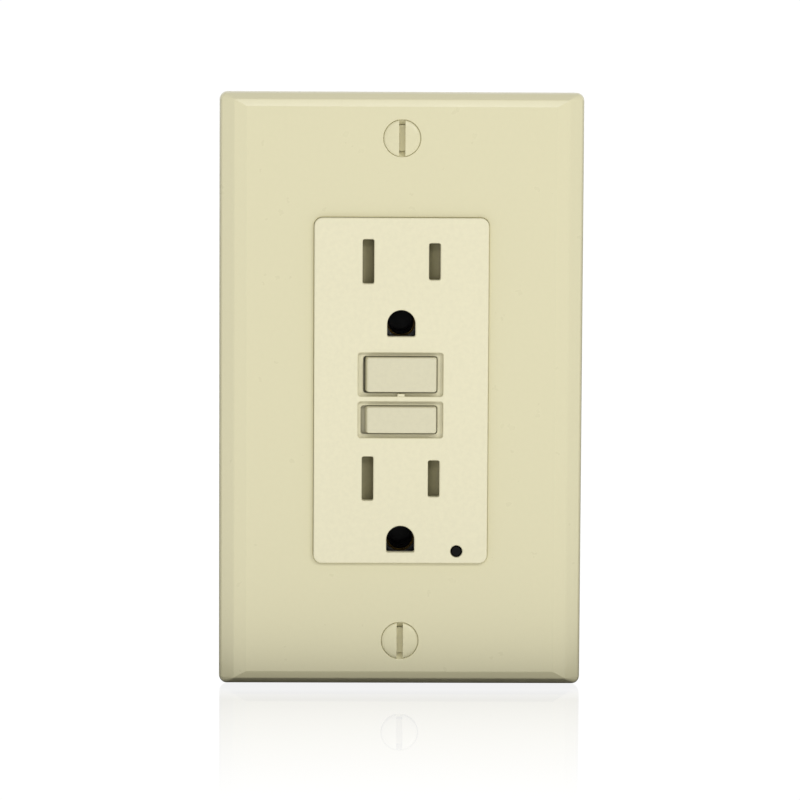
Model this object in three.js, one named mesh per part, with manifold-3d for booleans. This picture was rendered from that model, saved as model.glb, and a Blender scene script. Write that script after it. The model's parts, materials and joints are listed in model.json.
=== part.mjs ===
// A ground-fault (GFCI) duplex outlet with its decorator wall plate, as it comes apart on a bench.
//
// Millimetres, +Z up, the front faces -Y. Every size below is given from the wall plane (y = 0), the
// plane that the plate's rim and the strap's ears rest on; the finished group is then shifted so that
// its origin is the centre of the whole assembly's bounding box.
import * as THREE from "three";
import { mergeVertices } from "three/addons/utils/BufferGeometryUtils.js";
import Module from "manifold-3d";

const wasm = await Module();
wasm.setup();

// ---------------------------------------------------------------- driving dimensions

const INCH = 25.4;
const FIT = 0.1; // gap left between two pieces that rest on each other
const RUN = 0.2; // gap left around a piece that moves

const PLATE = { width: 2.75 * INCH, height: 4.5 * INCH, depth: 5.6, skin: 2.1, rim: 1.8, corner: 2.4 };
const WINDOW = { width: 33.5, height: 66.6, corner: 1.6 };
const PLATE_SCREW_Z = (3.8125 * INCH) / 2;
const BOX_SCREW_Z = (3.281 * INCH) / 2;

const FACE = { width: 33.2, height: 66.3, front: -6.6, skin: 2.0, side: 1.6, corner: 1.6 };
const BODY = { width: 42.4, height: 70.8, corner: 2.0, wall: 1.6, shoulder: -2.2, split: 4.0 };
const REAR = { step: 21.0, back: 29.0, width: 30.0, height: 68.4, wall: 1.6, ledge: 1.4 };

const BLADE_X = 0.25 * INCH; // each blade stands this far from the centre line
const SLOT = { width: 2.2, hot: 7.3, neutral: 8.7, corner: 0.35 };
const EARTH = { radius: 2.7, flat: 2.4 }; // the ground opening: a round top over a flat sill
const OUTLETS = [
  { name: "upper", blades: 24.9, earth: 12.9 },
  { name: "lower", blades: -16.85, earth: -28.7 },
];

const RESET = { z: 3.2, width: 13.8, height: 6.8, moat: [16.6, 8.3], front: -7.4, flange: -3.3 };
const TEST = { z: -5.5, width: 13.8, height: 5.2, moat: [16.6, 7.0], front: -7.4, flange: -4.4 };
const BUTTON = { gap: 0.25, moatDepth: 1.4, flangeThick: 0.7, flangeLap: 1.1, edge: 0.5 };
const LAMP = { x: 10.8, z: -30.9, radius: 1.15 };

const STRAP = { thick: 1.2, length: 106.0, ear: 31.0, neck: 24.0, neckFrom: 33.4, earFrom: 36.5 };
const SPINE = 3.0; // half width of the strap between the blade slots
const RIB = { inner: 5.4, outer: 6.2 }; // shutter rails, measured from the middle of the slots
const SHUTTER = { inner: 4.4, outer: 8.3, back: -2.8, half: 5.2 };

const FLOOR = { front: 12.8, back: 14.0, half: 14.6, height: 66.6 }; // the separator's floor
const RAIL = { front: 12.0, back: 12.6, from: 9.7, to: 12.3 };
const PAD = { x: 11.0, z: -2.5, radius: 1.3, joint: 15.25 };
const ARM = { front: 16.6, back: 17.1, half: 1.2, tip: -4.5, root: 9.5 };

const TERMINAL = { z: 17.5, y: 12.5, inner: 16.2, outer: 17.4, half: 5.0, shank: 1.9 };
const POCKET = { half: 6.0, wall: 0.9, inner: 14.9, back: 19.6 };
const LEAD = { front: 14.9, back: 15.7, half: 0.8, near: 0.5, far: 1.7 };

const CARRIER = { front: 17.2, back: 20.8, half: 12.2, low: -4.8, high: 6.4, core: 6.0 };
const LATCH = { front: 19.0, back: 19.8, half: 3.4, low: -6.8, high: 6.6 };
const SOLENOID = { y: 19.4, low: -22.0, high: -9.5, bore: 2.1, tube: 2.6, winding: 4.2, cheek: 4.3 };
const TOROID = { z: 17.5, inner: 3.5, outer: 7.7, front: 16.1, thick: 2.8 };
const BOARD = { front: 24.0, back: 25.5, half: 13.0, height: 64.4 };
const BODY_SCREW = { x: 18.0, z: 31.3 };

// ---------------------------------------------------------------- solids from three.js geometry

// A closed three.js geometry as a solid, turned right side out whichever way its profile ran.
function solid(geometry) {
  const loose = geometry.index ? geometry.toNonIndexed() : geometry;
  const bare = new THREE.BufferGeometry().setAttribute("position", loose.getAttribute("position"));
  const merged = mergeVertices(bare, 1e-4);
  const corners = [];
  for (let i = 0; i < merged.index.count; i += 3) {
    const [a, b, c] = [0, 1, 2].map((k) => merged.index.getX(i + k));
    if (a !== b && b !== c && c !== a) corners.push([a, b, c]);
  }
  const build = (faces) =>
    new wasm.Manifold(
      new wasm.Mesh({
        numProp: 3,
        vertProperties: new Float32Array(merged.attributes.position.array),
        triVerts: new Uint32Array(faces.flat()),
      }),
    );
  const made = build(corners);
  return made.volume() > 0 ? made : build(corners.map(([a, b, c]) => [a, c, b]));
}

function geometryOf(made) {
  const mesh = made.getMesh();
  const geometry = new THREE.BufferGeometry();
  geometry.setAttribute("position", new THREE.BufferAttribute(mesh.vertProperties, 3));
  geometry.setIndex(new THREE.BufferAttribute(mesh.triVerts, 1));
  geometry.computeVertexNormals();
  return geometry;
}

const join = (...solids) => solids.reduce((whole, piece) => whole.add(piece));
const cut = (whole, ...tools) => tools.reduce((left, tool) => left.subtract(tool), whole);
const mirrorX = (made) => made.mirror([1, 0, 0]);

function block([x0, x1], [y0, y1], [z0, z1]) {
  const box = new THREE.BoxGeometry(x1 - x0, y1 - y0, z1 - z0);
  return solid(box.translate((x0 + x1) / 2, (y0 + y1) / 2, (z0 + z1) / 2));
}

// A geometry that stands along +Y at the origin, turned to lie along another axis.
function along(axis, geometry) {
  if (axis === "x") geometry.rotateZ(-Math.PI / 2);
  if (axis === "z") geometry.rotateX(Math.PI / 2);
  return geometry;
}

// A round bar along an axis, from one coordinate to another, centred on the other two.
function rod(axis, radius, [from, to], [a, b], sides = 24) {
  const bar = along(axis, new THREE.CylinderGeometry(radius, radius, to - from, sides));
  const middle = (from + to) / 2;
  const place = { x: [middle, a, b], y: [a, middle, b], z: [a, b, middle] }[axis];
  return solid(bar.translate(...place));
}

// A turned piece about the Y axis at (x, z): its profile is [radius, y] pairs that start and end on
// the axis or close on themselves.
function turned(profile, [x, z], sides = 24) {
  const points = profile.map(([r, y]) => new THREE.Vector2(r, y));
  return solid(new THREE.LatheGeometry(points, sides).translate(x, 0, z));
}

// An outline drawn in X and Z, made thick from y0 to y1.
function slab(outline, [y0, y1], steps = 2) {
  const flat = new THREE.ExtrudeGeometry(outline, {
    depth: y1 - y0,
    bevelEnabled: false,
    curveSegments: steps,
  });
  return solid(flat.rotateX(Math.PI / 2).translate(0, y1, 0));
}

function roundedRect(width, height, radius, x = 0, z = 0) {
  const [w, h] = [width / 2, height / 2];
  const outline = new THREE.Shape();
  outline.absarc(x + w - radius, z - h + radius, radius, -Math.PI / 2, 0, false);
  outline.absarc(x + w - radius, z + h - radius, radius, 0, Math.PI / 2, false);
  outline.absarc(x - w + radius, z + h - radius, radius, Math.PI / 2, Math.PI, false);
  outline.absarc(x - w + radius, z - h + radius, radius, Math.PI, 1.5 * Math.PI, false);
  return outline;
}

// A body lofted through rounded rectangles: each layer is [inset, y] from the full outline.
function lofted(width, height, radius, layers, x = 0, z = 0, steps = 2) {
  const least = 0.3;
  const rings = layers.map(([inset, y]) => {
    const r = Math.max(radius - inset, least);
    const outline = roundedRect(width - 2 * inset, height - 2 * inset, r, x, z);
    return outline.extractPoints(steps).shape.map((p) => new THREE.Vector3(p.x, y, p.y));
  });
  const count = rings[0].length;
  const ends = [rings[0], rings.at(-1)].map((ring) => new THREE.Vector3(x, ring[0].y, z));
  const triangles = [];
  for (let i = 0; i < count; i++) {
    const next = (i + 1) % count;
    triangles.push(ends[0], rings[0][next], rings[0][i]);
    triangles.push(ends[1], rings.at(-1)[i], rings.at(-1)[next]);
    for (let k = 0; k + 1 < rings.length; k++) {
      const [low, high] = [rings[k], rings[k + 1]];
      triangles.push(low[i], low[next], high[next], low[i], high[next], high[i]);
    }
  }
  return solid(new THREE.BufferGeometry().setFromPoints(triangles));
}

// A coil spring along an axis: from one coordinate to another, centred on the other two.
class Helix extends THREE.Curve {
  constructor(radius, length, turns) {
    super();
    Object.assign(this, { radius, length, turns });
  }
  getPoint(t) {
    const angle = t * this.turns * 2 * Math.PI;
    const [x, z] = [Math.cos(angle) * this.radius, Math.sin(angle) * this.radius];
    return new THREE.Vector3(x, (t - 0.5) * this.length, z);
  }
}

function coil(axis, radius, wire, [from, to], [a, b], turns) {
  const section = new THREE.Shape().absarc(0, 0, wire, 0, 2 * Math.PI, false);
  const wound = new THREE.ExtrudeGeometry(section, {
    steps: Math.round(turns * 9),
    curveSegments: 2.5,
    extrudePath: new Helix(radius, to - from - 2 * wire, turns),
  });
  const middle = (from + to) / 2;
  const place = { x: [middle, a, b], y: [a, middle, b], z: [a, b, middle] }[axis];
  return solid(along(axis, wound).translate(...place));
}

// ---------------------------------------------------------------- wall plate and its screws

const HEAD = { radius: 3.5, seat: 2.0, dome: 0.6, slot: 1.1, slotDepth: 1.4 };

function wallPlate() {
  const { width, height, depth, skin, rim, corner } = PLATE;
  const edge = [
    [0, 0],
    [0, -1.9],
    [0.25, -2.6],
    [2.0, -4.9],
    [2.6, -5.4],
    [3.4, -depth],
  ];
  const shell = lofted(width, height, corner, edge);
  const hollow = lofted(width - 2 * rim, height - 2 * rim, corner, [
    [0, 0.5],
    [0, -1.6],
    [2.2, skin - depth],
  ]);
  const lip = slab(roundedRect(WINDOW.width + 3, WINDOW.height + 3, WINDOW.corner + 1), [-3.6, -2.5]);
  const opening = slab(roundedRect(WINDOW.width, WINDOW.height, WINDOW.corner), [-6, 0.5]);
  const ends = [-PLATE_SCREW_Z, PLATE_SCREW_Z];
  const bosses = ends.map((z) => rod("y", 3.0, [-3.6, -STRAP.thick - FIT], [0, z]));
  const sinks = ends.map((z) => screwSink([0, z]));
  return cut(join(cut(shell, hollow), lip, ...bosses), opening, ...sinks);
}

// The countersunk hole that a plate screw sits in.
function screwSink(centre) {
  const mouth = HEAD.radius + RUN;
  return turned(
    [
      [0, 0.5],
      [1.9, 0.5],
      [1.9, -PLATE.depth + HEAD.seat + 0.1],
      [mouth, -PLATE.depth + 0.1],
      [mouth, -PLATE.depth - 1],
      [0, -PLATE.depth - 1],
    ],
    centre,
  );
}

function plateScrew(z) {
  const rimY = -PLATE.depth;
  const [shank, tip] = [1.65, 6.5];
  const profile = [
    [0, tip],
    [shank - 0.5, tip],
    [shank, tip - 0.5],
    [shank, rimY + HEAD.seat],
    [HEAD.radius, rimY],
    [HEAD.radius * 0.75, rimY - HEAD.dome * 0.6],
    [HEAD.radius * 0.4, rimY - HEAD.dome * 0.92],
    [0, rimY - HEAD.dome],
  ];
  const half = HEAD.slot / 2;
  const slot = block([-half, half], [-9, rimY - HEAD.dome + HEAD.slotDepth], [z - 5, z + 5]);
  return cut(turned(profile, [0, z]), slot);
}

// ---------------------------------------------------------------- front cover, buttons, shutters, lamp

const bladeSlot = (x, z, height) => roundedRect(SLOT.width, height, SLOT.corner, x, z);

function earthOutline(z) {
  const outline = new THREE.Shape();
  outline.moveTo(-EARTH.radius, z - EARTH.flat);
  outline.lineTo(EARTH.radius, z - EARTH.flat);
  outline.absarc(0, z, EARTH.radius, 0, Math.PI, false);
  return outline;
}

// What one outlet's three openings take out of the front cover.
function outletOpenings({ blades, earth }) {
  const through = [FACE.front - 1, BODY.shoulder];
  return [
    slab(bladeSlot(BLADE_X, blades, SLOT.hot), through, 1),
    slab(bladeSlot(-BLADE_X, blades, SLOT.neutral), through, 1),
    slab(earthOutline(earth), through, 6),
  ];
}

// A button's way through the cover: a sunk surround, and a closer hole through its floor.
function buttonOpenings({ z, width, height, moat }) {
  const floor = FACE.front + BUTTON.moatDepth;
  const wide = roundedRect(width + 2 * BUTTON.gap, height + 2 * BUTTON.gap, 0.8, 0, z);
  return [
    slab(roundedRect(...moat, 0.9, 0, z), [FACE.front - 1, floor]),
    slab(wide, [FACE.front - 1, BODY.shoulder]),
  ];
}

function frontCover() {
  const inside = { x: FACE.width / 2 - FACE.side, z: FACE.height / 2 - FACE.side };
  const skinBack = FACE.front + FACE.skin;
  const raised = lofted(FACE.width, FACE.height, FACE.corner, [
    [0, BODY.shoulder + 0.5],
    [0, FACE.front + 0.6],
    [0.2, FACE.front + 0.2],
    [0.6, FACE.front],
  ]);
  const skirt = slab(roundedRect(BODY.width, BODY.height, BODY.corner), [BODY.shoulder, BODY.split]);
  const [bx, bz] = [BODY.width / 2 - BODY.wall, BODY.height / 2 - BODY.wall];
  const strapFront = -STRAP.thick - FIT;
  const notch = STRAP.neck / 2 + 0.3;
  const shell = cut(
    join(raised, skirt),
    block([-inside.x, inside.x], [skinBack, BODY.split + 1], [-inside.z, inside.z]),
    block([-bx, bx], [strapFront, BODY.split + 1], [-bz, bz]),
    block([-notch, notch], [strapFront, BODY.split + 1], [-BODY.height, BODY.height]),
  );
  const ribs = OUTLETS.flatMap(({ blades }) =>
    [-1, 1].map((side) => {
      const [near, far] = [RIB.inner * side, RIB.outer * side].sort((p, q) => p - q);
      return block([-13.4, 13.4], [skinBack - 0.2, -2.6], [blades + near, blades + far]);
    }),
  );
  const corners = [-1, 1].flatMap((sx) => [-1, 1].map((sz) => [sx * BODY_SCREW.x, sz * BODY_SCREW.z]));
  const posts = corners.map((at) => rod("y", 2.4, [strapFront - 0.2, BODY.split - FIT], at, 16));
  const pilots = corners.map((at) => rod("y", 1.35, [-0.6, BODY.split + 1], at, 16));
  const lampTube = rod("y", LAMP.radius + 0.9, [skinBack - 0.2, -2.6], [LAMP.x, LAMP.z], 20);
  const cover = cut(
    join(shell, ...ribs, ...posts, lampTube),
    ...pilots,
    ...OUTLETS.flatMap(outletOpenings),
    ...[RESET, TEST].flatMap(buttonOpenings),
    rod("y", LAMP.radius, [FACE.front - 1, 0], [LAMP.x, LAMP.z], 20),
  );
  const sill = RESET.z - RESET.moat[1] / 2;
  const nib = block([-0.6, 0.6], [FACE.front + 0.3, skinBack], [sill - 0.3, sill + 0.55]);
  return join(cover, nib);
}

function button({ z, width, height, front, flange }) {
  const body = lofted(
    width,
    height,
    0.8,
    [
      [0, flange + 0.2],
      [0, front + BUTTON.edge],
      [BUTTON.edge * 0.3, front + BUTTON.edge * 0.3],
      [BUTTON.edge, front],
    ],
    0,
    z,
  );
  const lap = 2 * BUTTON.flangeLap;
  const brim = slab(roundedRect(width + lap, height + lap, 1, 0, z), [
    flange,
    flange + BUTTON.flangeThick,
  ]);
  return join(body, brim);
}

function resetButton() {
  const socket = rod("y", 1.4, [-4.1, 0], [0, RESET.z], 16);
  return cut(button(RESET), socket);
}

function testButton() {
  const stem = block([-1.3, 1.3], [TEST.flange + 0.3, 0.6], [TEST.z - 1.3, TEST.z + 1.3]);
  return join(button(TEST), stem);
}

// The shutter behind a hot slot: its sloped front lets a blade push it outwards. A neutral slot's is
// the mirror image.
function shutter({ blades }) {
  const { inner, outer, back, half } = SHUTTER;
  const wedge = new THREE.Shape();
  wedge.moveTo(inner, back);
  wedge.lineTo(outer, back);
  wedge.lineTo(outer, -4.4);
  wedge.lineTo(inner, -3.3);
  const bar = new THREE.ExtrudeGeometry(wedge, { depth: 2 * half, bevelEnabled: false });
  return solid(bar.translate(0, 0, blades - half));
}

const shutterSpring = ({ blades }) => coil("x", 0.8, 0.17, [-4.2, 4.2], [-3.55, blades], 6);

const lightPipe = () => rod("y", LAMP.radius - FIT, [FACE.front + 0.3, 21.5], [LAMP.x, LAMP.z], 16);

function indicatorLed() {
  return turned(
    [
      [0, BOARD.front - FIT],
      [1.3, BOARD.front - FIT],
      [1.3, 23.2],
      [1.1, 23.2],
      [1.1, 22.4],
      [0.9, 21.8],
      [0, 21.6],
    ],
    [LAMP.x, LAMP.z],
    16,
  );
}

// ---------------------------------------------------------------- strap, ground path, box screws

const TAB = { x: -15.5, z: [-45.4, -36.8], depth: 10, y: 5.2 };

function mountingStrap() {
  const y = [-STRAP.thick, 0];
  const plan = (x, [z0, z1]) => block([-x, x], y, [z0, z1]);
  const [end, neck] = [STRAP.length / 2, STRAP.neck / 2];
  const ends = [-1, 1].flatMap((side) => {
    const span = (a, b) => (side > 0 ? [a, b] : [-b, -a]);
    const middle = (side * (STRAP.earFrom + end)) / 2;
    const ear = slab(roundedRect(STRAP.ear, end - STRAP.earFrom, 2.2, 0, middle), y);
    return [plan(neck, span(STRAP.neckFrom, STRAP.earFrom + 3)), ear];
  });
  const pads = OUTLETS.map(({ earth }) => rod("y", 5.0, y, [0, earth]));
  const web = [plan(SPINE, [-34, 34]), plan(7.5, [-8.6, 8.4])];
  const tab = block([TAB.x, TAB.x + STRAP.thick], [-STRAP.thick, TAB.depth], TAB.z);
  const earCuts = [-1, 1].flatMap((sx) =>
    [-1, 1].map((sz) => {
      const x = [sx * 10.6 - 0.4, sx * 10.6 + 0.4];
      return block(x, [-2, 1], sz > 0 ? [47.5, 60] : [-60, -47.5]);
    }),
  );
  const screwHoles = [-1, 1].flatMap((side) => [
    slab(roundedRect(6.6, 4.1, 2.0, 0, side * BOX_SCREW_Z), [-2, 1]),
    rod("y", 1.75, [-2, 1], [0, side * PLATE_SCREW_Z], 16),
  ]);
  return cut(
    join(...web, ...ends, ...pads, tab),
    ...earCuts,
    ...screwHoles,
    ...OUTLETS.map(({ earth }) => rod("y", 2.8, [-2, 1], [0, earth], 20)),
    rod("y", 2.7, [-2, 1], [0, RESET.z], 20),
    block([-2, 2], [-2, 1], [TEST.z - 2, TEST.z + 2]),
    rod("x", 2.05, [TAB.x - 1, TAB.x + 3], [TAB.y, (TAB.z[0] + TAB.z[1]) / 2], 16),
  );
}

// A split brass sleeve that grips the ground pin, with a collar riveted to the strap's back.
function groundContact({ earth }) {
  const [inner, outer, collar] = [2.5, 3.1, 4.0];
  const sleeve = turned(
    [
      [inner, FIT],
      [collar, FIT],
      [collar, 0.7],
      [outer, 0.7],
      [outer, 12.5],
      [inner, 12.5],
      [inner, FIT],
    ],
    [0, earth],
    20,
  );
  return cut(sleeve, block([-0.4, 0.4], [1.4, 13], [earth, earth + 5]));
}

// A screw along X or Y: a round slotted head that faces the negative end, and a plain shank.
function slottedScrew(axis, { head, shank, slot }, [top, seat, tip], at, facing = -1) {
  const span = (a, b) => (facing < 0 ? [a, b] : [-b, -a]);
  const body = join(
    rod(axis, head, span(top, seat), at, 20),
    rod(axis, shank, span(seat - 0.2, tip), at, 16),
  );
  const half = slot / 2;
  const depth = span(top - 1, top + 0.45 * (seat - top));
  const [a, b] = at;
  const groove =
    axis === "y"
      ? block([a - half, a + half], depth, [b - 6, b + 6])
      : block(depth, [a - 6, a + 6], [b - half, b + half]);
  return cut(body, groove);
}

const boxScrew = (z) =>
  slottedScrew("y", { head: 3.3, shank: 1.65, slot: 1.1 }, [-3.2, -1.35, 17.5], [0, z]);

const groundScrew = () => {
  const middle = (TAB.z[0] + TAB.z[1]) / 2;
  const seat = TAB.x - RUN;
  return slottedScrew("x", { head: 4.0, shank: 1.9, slot: 1.2 }, [seat - 2.2, seat, -10.5], [TAB.y, middle]);
};

const retainingWasher = (z) =>
  cut(rod("y", 4.2, [FIT, 0.9], [0, z], 20), rod("y", 1.85, [-1, 2], [0, z], 16));

// ---------------------------------------------------------------- contacts and terminals

const BEHIND_SHUTTER = SHUTTER.back + 0.3;

// One side's load conductor: a rail with a two-leaf clip for each outlet, the fixed switch contact,
// and the tab that carries the load terminal. This is the hot side; the neutral one mirrors it.
function faceContact() {
  const y = [RAIL.front, RAIL.back];
  const z = -TERMINAL.z;
  const rail = block([RAIL.from, RAIL.to], y, [z - 4.8, OUTLETS[0].blades + 3]);
  const clips = OUTLETS.flatMap(({ blades }) => {
    const leaf = [blades - 3.8, blades + 3.8];
    return [
      block([BLADE_X + 0.85, BLADE_X + 1.35], [1.0, RAIL.back], leaf),
      block([BLADE_X - 1.35, BLADE_X - 0.85], [1.0, RAIL.back], leaf),
      block([BLADE_X - 1.35, RAIL.from + 0.2], y, [blades - 2.9, blades + 2.9]),
    ];
  });
  const contact = rod("y", PAD.radius, [RAIL.back - 0.2, PAD.joint - 0.05], [PAD.x, PAD.z], 16);
  const link = block([RAIL.to - 0.2, TERMINAL.inner + 0.2], y, [z - 4.8, z - 2.3]);
  return join(rail, ...clips, contact, link, terminalPlate(z));
}

function terminalPlate(z) {
  const { y, inner, outer, half, shank } = TERMINAL;
  const plate = block([inner, outer], [y - 5, y + 5], [z - half, z + half]);
  return cut(plate, rod("x", shank + 0.15, [inner - 1, outer + 1], [y, z], 16));
}

// One side's line conductor: terminal plate, bar across and down through the sensing cores, bar
// under them, and the post that carries the moving arm. Hot side; the neutral one mirrors it.
function lineTerminal() {
  const z = TERMINAL.z;
  const thin = [z - LEAD.half, z + LEAD.half];
  const under = [23.0, 23.6];
  return join(
    terminalPlate(z),
    block([LEAD.near, TERMINAL.inner + 0.2], [LEAD.front, LEAD.back], thin),
    block([LEAD.near, LEAD.far], [LEAD.front, under[1]], thin),
    block([LEAD.near, LEAD.far], under, [ARM.root - 1.5, z]),
    block([LEAD.near, PAD.x + ARM.half], under, [ARM.root - 1.5, ARM.root]),
    block([PAD.x - ARM.half, PAD.x + ARM.half], [ARM.back + FIT, under[1]], [ARM.root - 1.5, ARM.root]),
  );
}

function clampPlate(z) {
  const { y, outer, shank } = TERMINAL;
  const plate = block([outer + 0.5, outer + 1.7], [y - 4.6, y + 4.6], [z - 4.6, z + 4.6]);
  return cut(plate, rod("x", shank + RUN, [outer, outer + 3], [y, z], 16));
}

function terminalScrew(z) {
  const seat = TERMINAL.outer + 1.9;
  const sizes = { head: 4.0, shank: TERMINAL.shank, slot: 1.2 };
  return slottedScrew("x", sizes, [-seat - 2.2, -seat, -POCKET.inner], [TERMINAL.y, z], 1);
}

function contactArm() {
  const strip = block(
    [PAD.x - ARM.half, PAD.x + ARM.half],
    [ARM.front, ARM.back],
    [ARM.tip, ARM.root],
  );
  return join(strip, rod("y", PAD.radius, [PAD.joint + 0.05, ARM.front + 0.2], [PAD.x, PAD.z], 16));
}

// ---------------------------------------------------------------- trip and reset mechanism

const PIN = { radius: 1.3, waist: 0.85, top: -4.0, waistFrom: 16.9, waistTo: 19.9, tip: 20.5 };

function resetPin() {
  const { radius, waist, top, waistFrom, waistTo, tip } = PIN;
  return turned(
    [
      [0, top],
      [radius, top],
      [radius, waistFrom],
      [waist, waistFrom],
      [waist, waistTo],
      [radius, waistTo],
      [0.7, tip],
      [0, tip],
    ],
    [0, RESET.z],
    20,
  );
}

const resetSpring = () => coil("y", 2.25, 0.22, [-2.4, FLOOR.front - FIT], [0, RESET.z], 8);

function contactCarrier() {
  const { front, back, half, low, high, core } = CARRIER;
  const wing = block([-half, half], [front, front + 1.6], [low, high]);
  const middle = block([-core, core], [front, back], [low, high]);
  const slot = block([-LATCH.half - RUN, LATCH.half + RUN], [LATCH.front - 0.1, LATCH.back + 0.1], [-9, 9]);
  return cut(join(wing, middle), slot, rod("y", PIN.radius + 0.4, [10, 25], [0, RESET.z], 16));
}

const breakSpring = () =>
  coil("y", 2.7, 0.2, [FLOOR.back + FIT, CARRIER.front - FIT], [0, RESET.z], 2.5);

function latchPlate() {
  const { front, back, half, low, high } = LATCH;
  const reach = PIN.radius + 0.15;
  const centre = RESET.z - 0.85;
  const keyhole = roundedRect(2 * reach, 2 * reach + 1.7, reach - 0.01, 0, centre);
  return cut(
    block([-half, half], [front, back], [low, high]),
    slab(keyhole, [front - 1, back + 1], 4),
  );
}

function solenoidBobbin() {
  const { y, low, high, bore, tube, cheek } = SOLENOID;
  const flange = (z) => block([-cheek, cheek], [y - cheek, y + cheek], [z, z + 0.9]);
  const body = join(rod("z", tube, [low, high], [0, y]), flange(low), flange(high - 0.9));
  return cut(body, rod("z", bore, [low - 1, high + 1], [0, y]));
}

function solenoidWinding() {
  const { y, low, high, tube, winding } = SOLENOID;
  const span = [low + 1.0, high - 1.0];
  return cut(rod("z", winding, span, [0, y]), rod("z", tube + FIT, [low, high], [0, y]));
}

// The steel yoke that closes the magnetic path round the coil.
function solenoidFrame() {
  const { y, low, high, cheek } = SOLENOID;
  const side = [cheek + FIT, cheek + 0.9];
  const tall = [y - 4.2, y + 4.2];
  const shell = join(
    block(side, tall, [low - 1.0, high + 1.0]),
    block([-3.6, cheek + 0.9], tall, [low - 1.0, low - FIT]),
    block([-3.6, cheek + 0.9], tall, [high + FIT, high + 1.0]),
  );
  return cut(
    shell,
    rod("z", 2.15, [low - 2, low + 1], [0, y], 20),
    rod("z", 1.2, [high - 1, high + 2], [0, y], 16),
  );
}

function solenoidPlunger() {
  const { y, low } = SOLENOID;
  return join(
    rod("z", 2.9, [low - 5.0, low - 4.4], [0, y], 20),
    rod("z", 1.9, [low - 4.5, -11.4], [0, y], 20),
    rod("z", 0.8, [-11.5, LATCH.low - RUN], [0, y], 12),
  );
}

const plungerSpring = () =>
  coil("z", 2.45, 0.2, [SOLENOID.low - 4.3, SOLENOID.low - 1.1], [0, SOLENOID.y], 3);

const LEAF = { front: 0.8, back: 1.1, tip: -3.5, root: 9.0, hinge: 6.8, half: 1.6 };

const testBlade = () =>
  block([LEAF.tip, LEAF.root], [LEAF.front, LEAF.back], [TEST.z - LEAF.half, TEST.z + LEAF.half]);

// ---------------------------------------------------------------- sensing cores and circuit board

function ringCore(front) {
  const { inner, outer, thick, z } = TOROID;
  const back = front + thick;
  return turned(
    [
      [inner, front],
      [outer, front],
      [outer, back],
      [inner, back],
      [inner, front],
    ],
    [0, z],
    28,
  );
}

function coreHousing() {
  const [front, back] = [TOROID.front - RUN, 22.8];
  const cup = cut(
    rod("y", 8.6, [front, back], [0, TOROID.z], 32),
    rod("y", 7.9, [front - 1, back - 0.7], [0, TOROID.z], 32),
  );
  const throat = rod("y", 3.3, [front, back], [0, TOROID.z], 20);
  return cut(join(cup, throat), rod("y", 2.7, [front - 1, back + 1], [0, TOROID.z], 20));
}

const circuitBoard = () =>
  slab(roundedRect(2 * BOARD.half, BOARD.height, 1.2), [BOARD.front, BOARD.back]);

const surgeVaristor = () => rod("x", 4.3, [-10.6, -7.0], [BOARD.front - 4.5, -16], 24);
const filterCapacitor = () => block([6.8, 11.2], [17.6, BOARD.front - FIT], [-20.5, -12]);

// The control chip, with its eight legs as two toothed edges.
function controlChip() {
  const body = block([5.4, 9.4], [21.9, BOARD.front - 0.3], [-30, -24.6]);
  const legs = [0, 1, 2, 3].map((k) => {
    const z = -29.4 + k * 1.27;
    return block([4.5, 10.3], [23.1, BOARD.front - FIT], [z, z + 0.45]);
  });
  const between = block([5.6, 9.2], [22, BOARD.front], [-31, -24]);
  return join(body, ...legs.map((leg) => cut(leg, between)));
}

// ---------------------------------------------------------------- separator and rear housing

// The moulding between the contacts and the mechanism: a floor, a tube round each blade clip, a cup
// round each ground sleeve, the reset spring's well and the post that carries the test blade.
function separator() {
  const y = [FLOOR.front, FLOOR.back];
  const floor = slab(roundedRect(2 * FLOOR.half, FLOOR.height, 1.5), y);
  const solids = [];
  const hollows = [];
  for (const { blades: z, earth } of OUTLETS) {
    for (const side of [-1, 1]) {
      const span = (a, b) => [side * a, side * b].sort((p, q) => p - q);
      const tall = [z - RIB.outer, z + RIB.outer];
      const inner = [z - RIB.outer + 1, z + RIB.outer - 1];
      solids.push(block(span(3.5, 9.3), [BEHIND_SHUTTER, FLOOR.front + 0.2], tall));
      hollows.push(block(span(4.3, 8.5), [BEHIND_SHUTTER - 1, FLOOR.front], inner));
      hollows.push(block(span(8.3, 9.5), [RAIL.front - 0.3, FLOOR.front], [z - 3.2, z + 3.2]));
    }
    solids.push(rod("y", 4.3, [1.0, 14.6], [0, earth], 28));
    hollows.push(rod("y", 3.4, [0, 13.9], [0, earth], 28));
  }
  solids.push(rod("y", 4.2, [0.4, FLOOR.front + 0.2], [0, RESET.z], 28));
  hollows.push(rod("y", 3.3, [-1, FLOOR.front], [0, RESET.z], 28));
  hollows.push(rod("y", PIN.radius + 0.4, [0, 20], [0, RESET.z], 16));
  solids.push(block([LEAF.hinge, 9.6], [LEAF.back + FIT, FLOOR.front + 0.2], [TEST.z - 1.8, TEST.z + 1.8]));
  hollows.push(rod("y", 1.4, [0, 20], [LAMP.x, LAMP.z], 16));
  for (const side of [-1, 1]) {
    const span = [side * (PAD.x - 1.7), side * (PAD.x + 1.7)].sort((p, q) => p - q);
    hollows.push(block(span, [FLOOR.front - 1, 20], [PAD.z - 1.7, PAD.z + 1.7]));
  }
  return cut(join(floor, ...solids), ...hollows);
}

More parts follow.
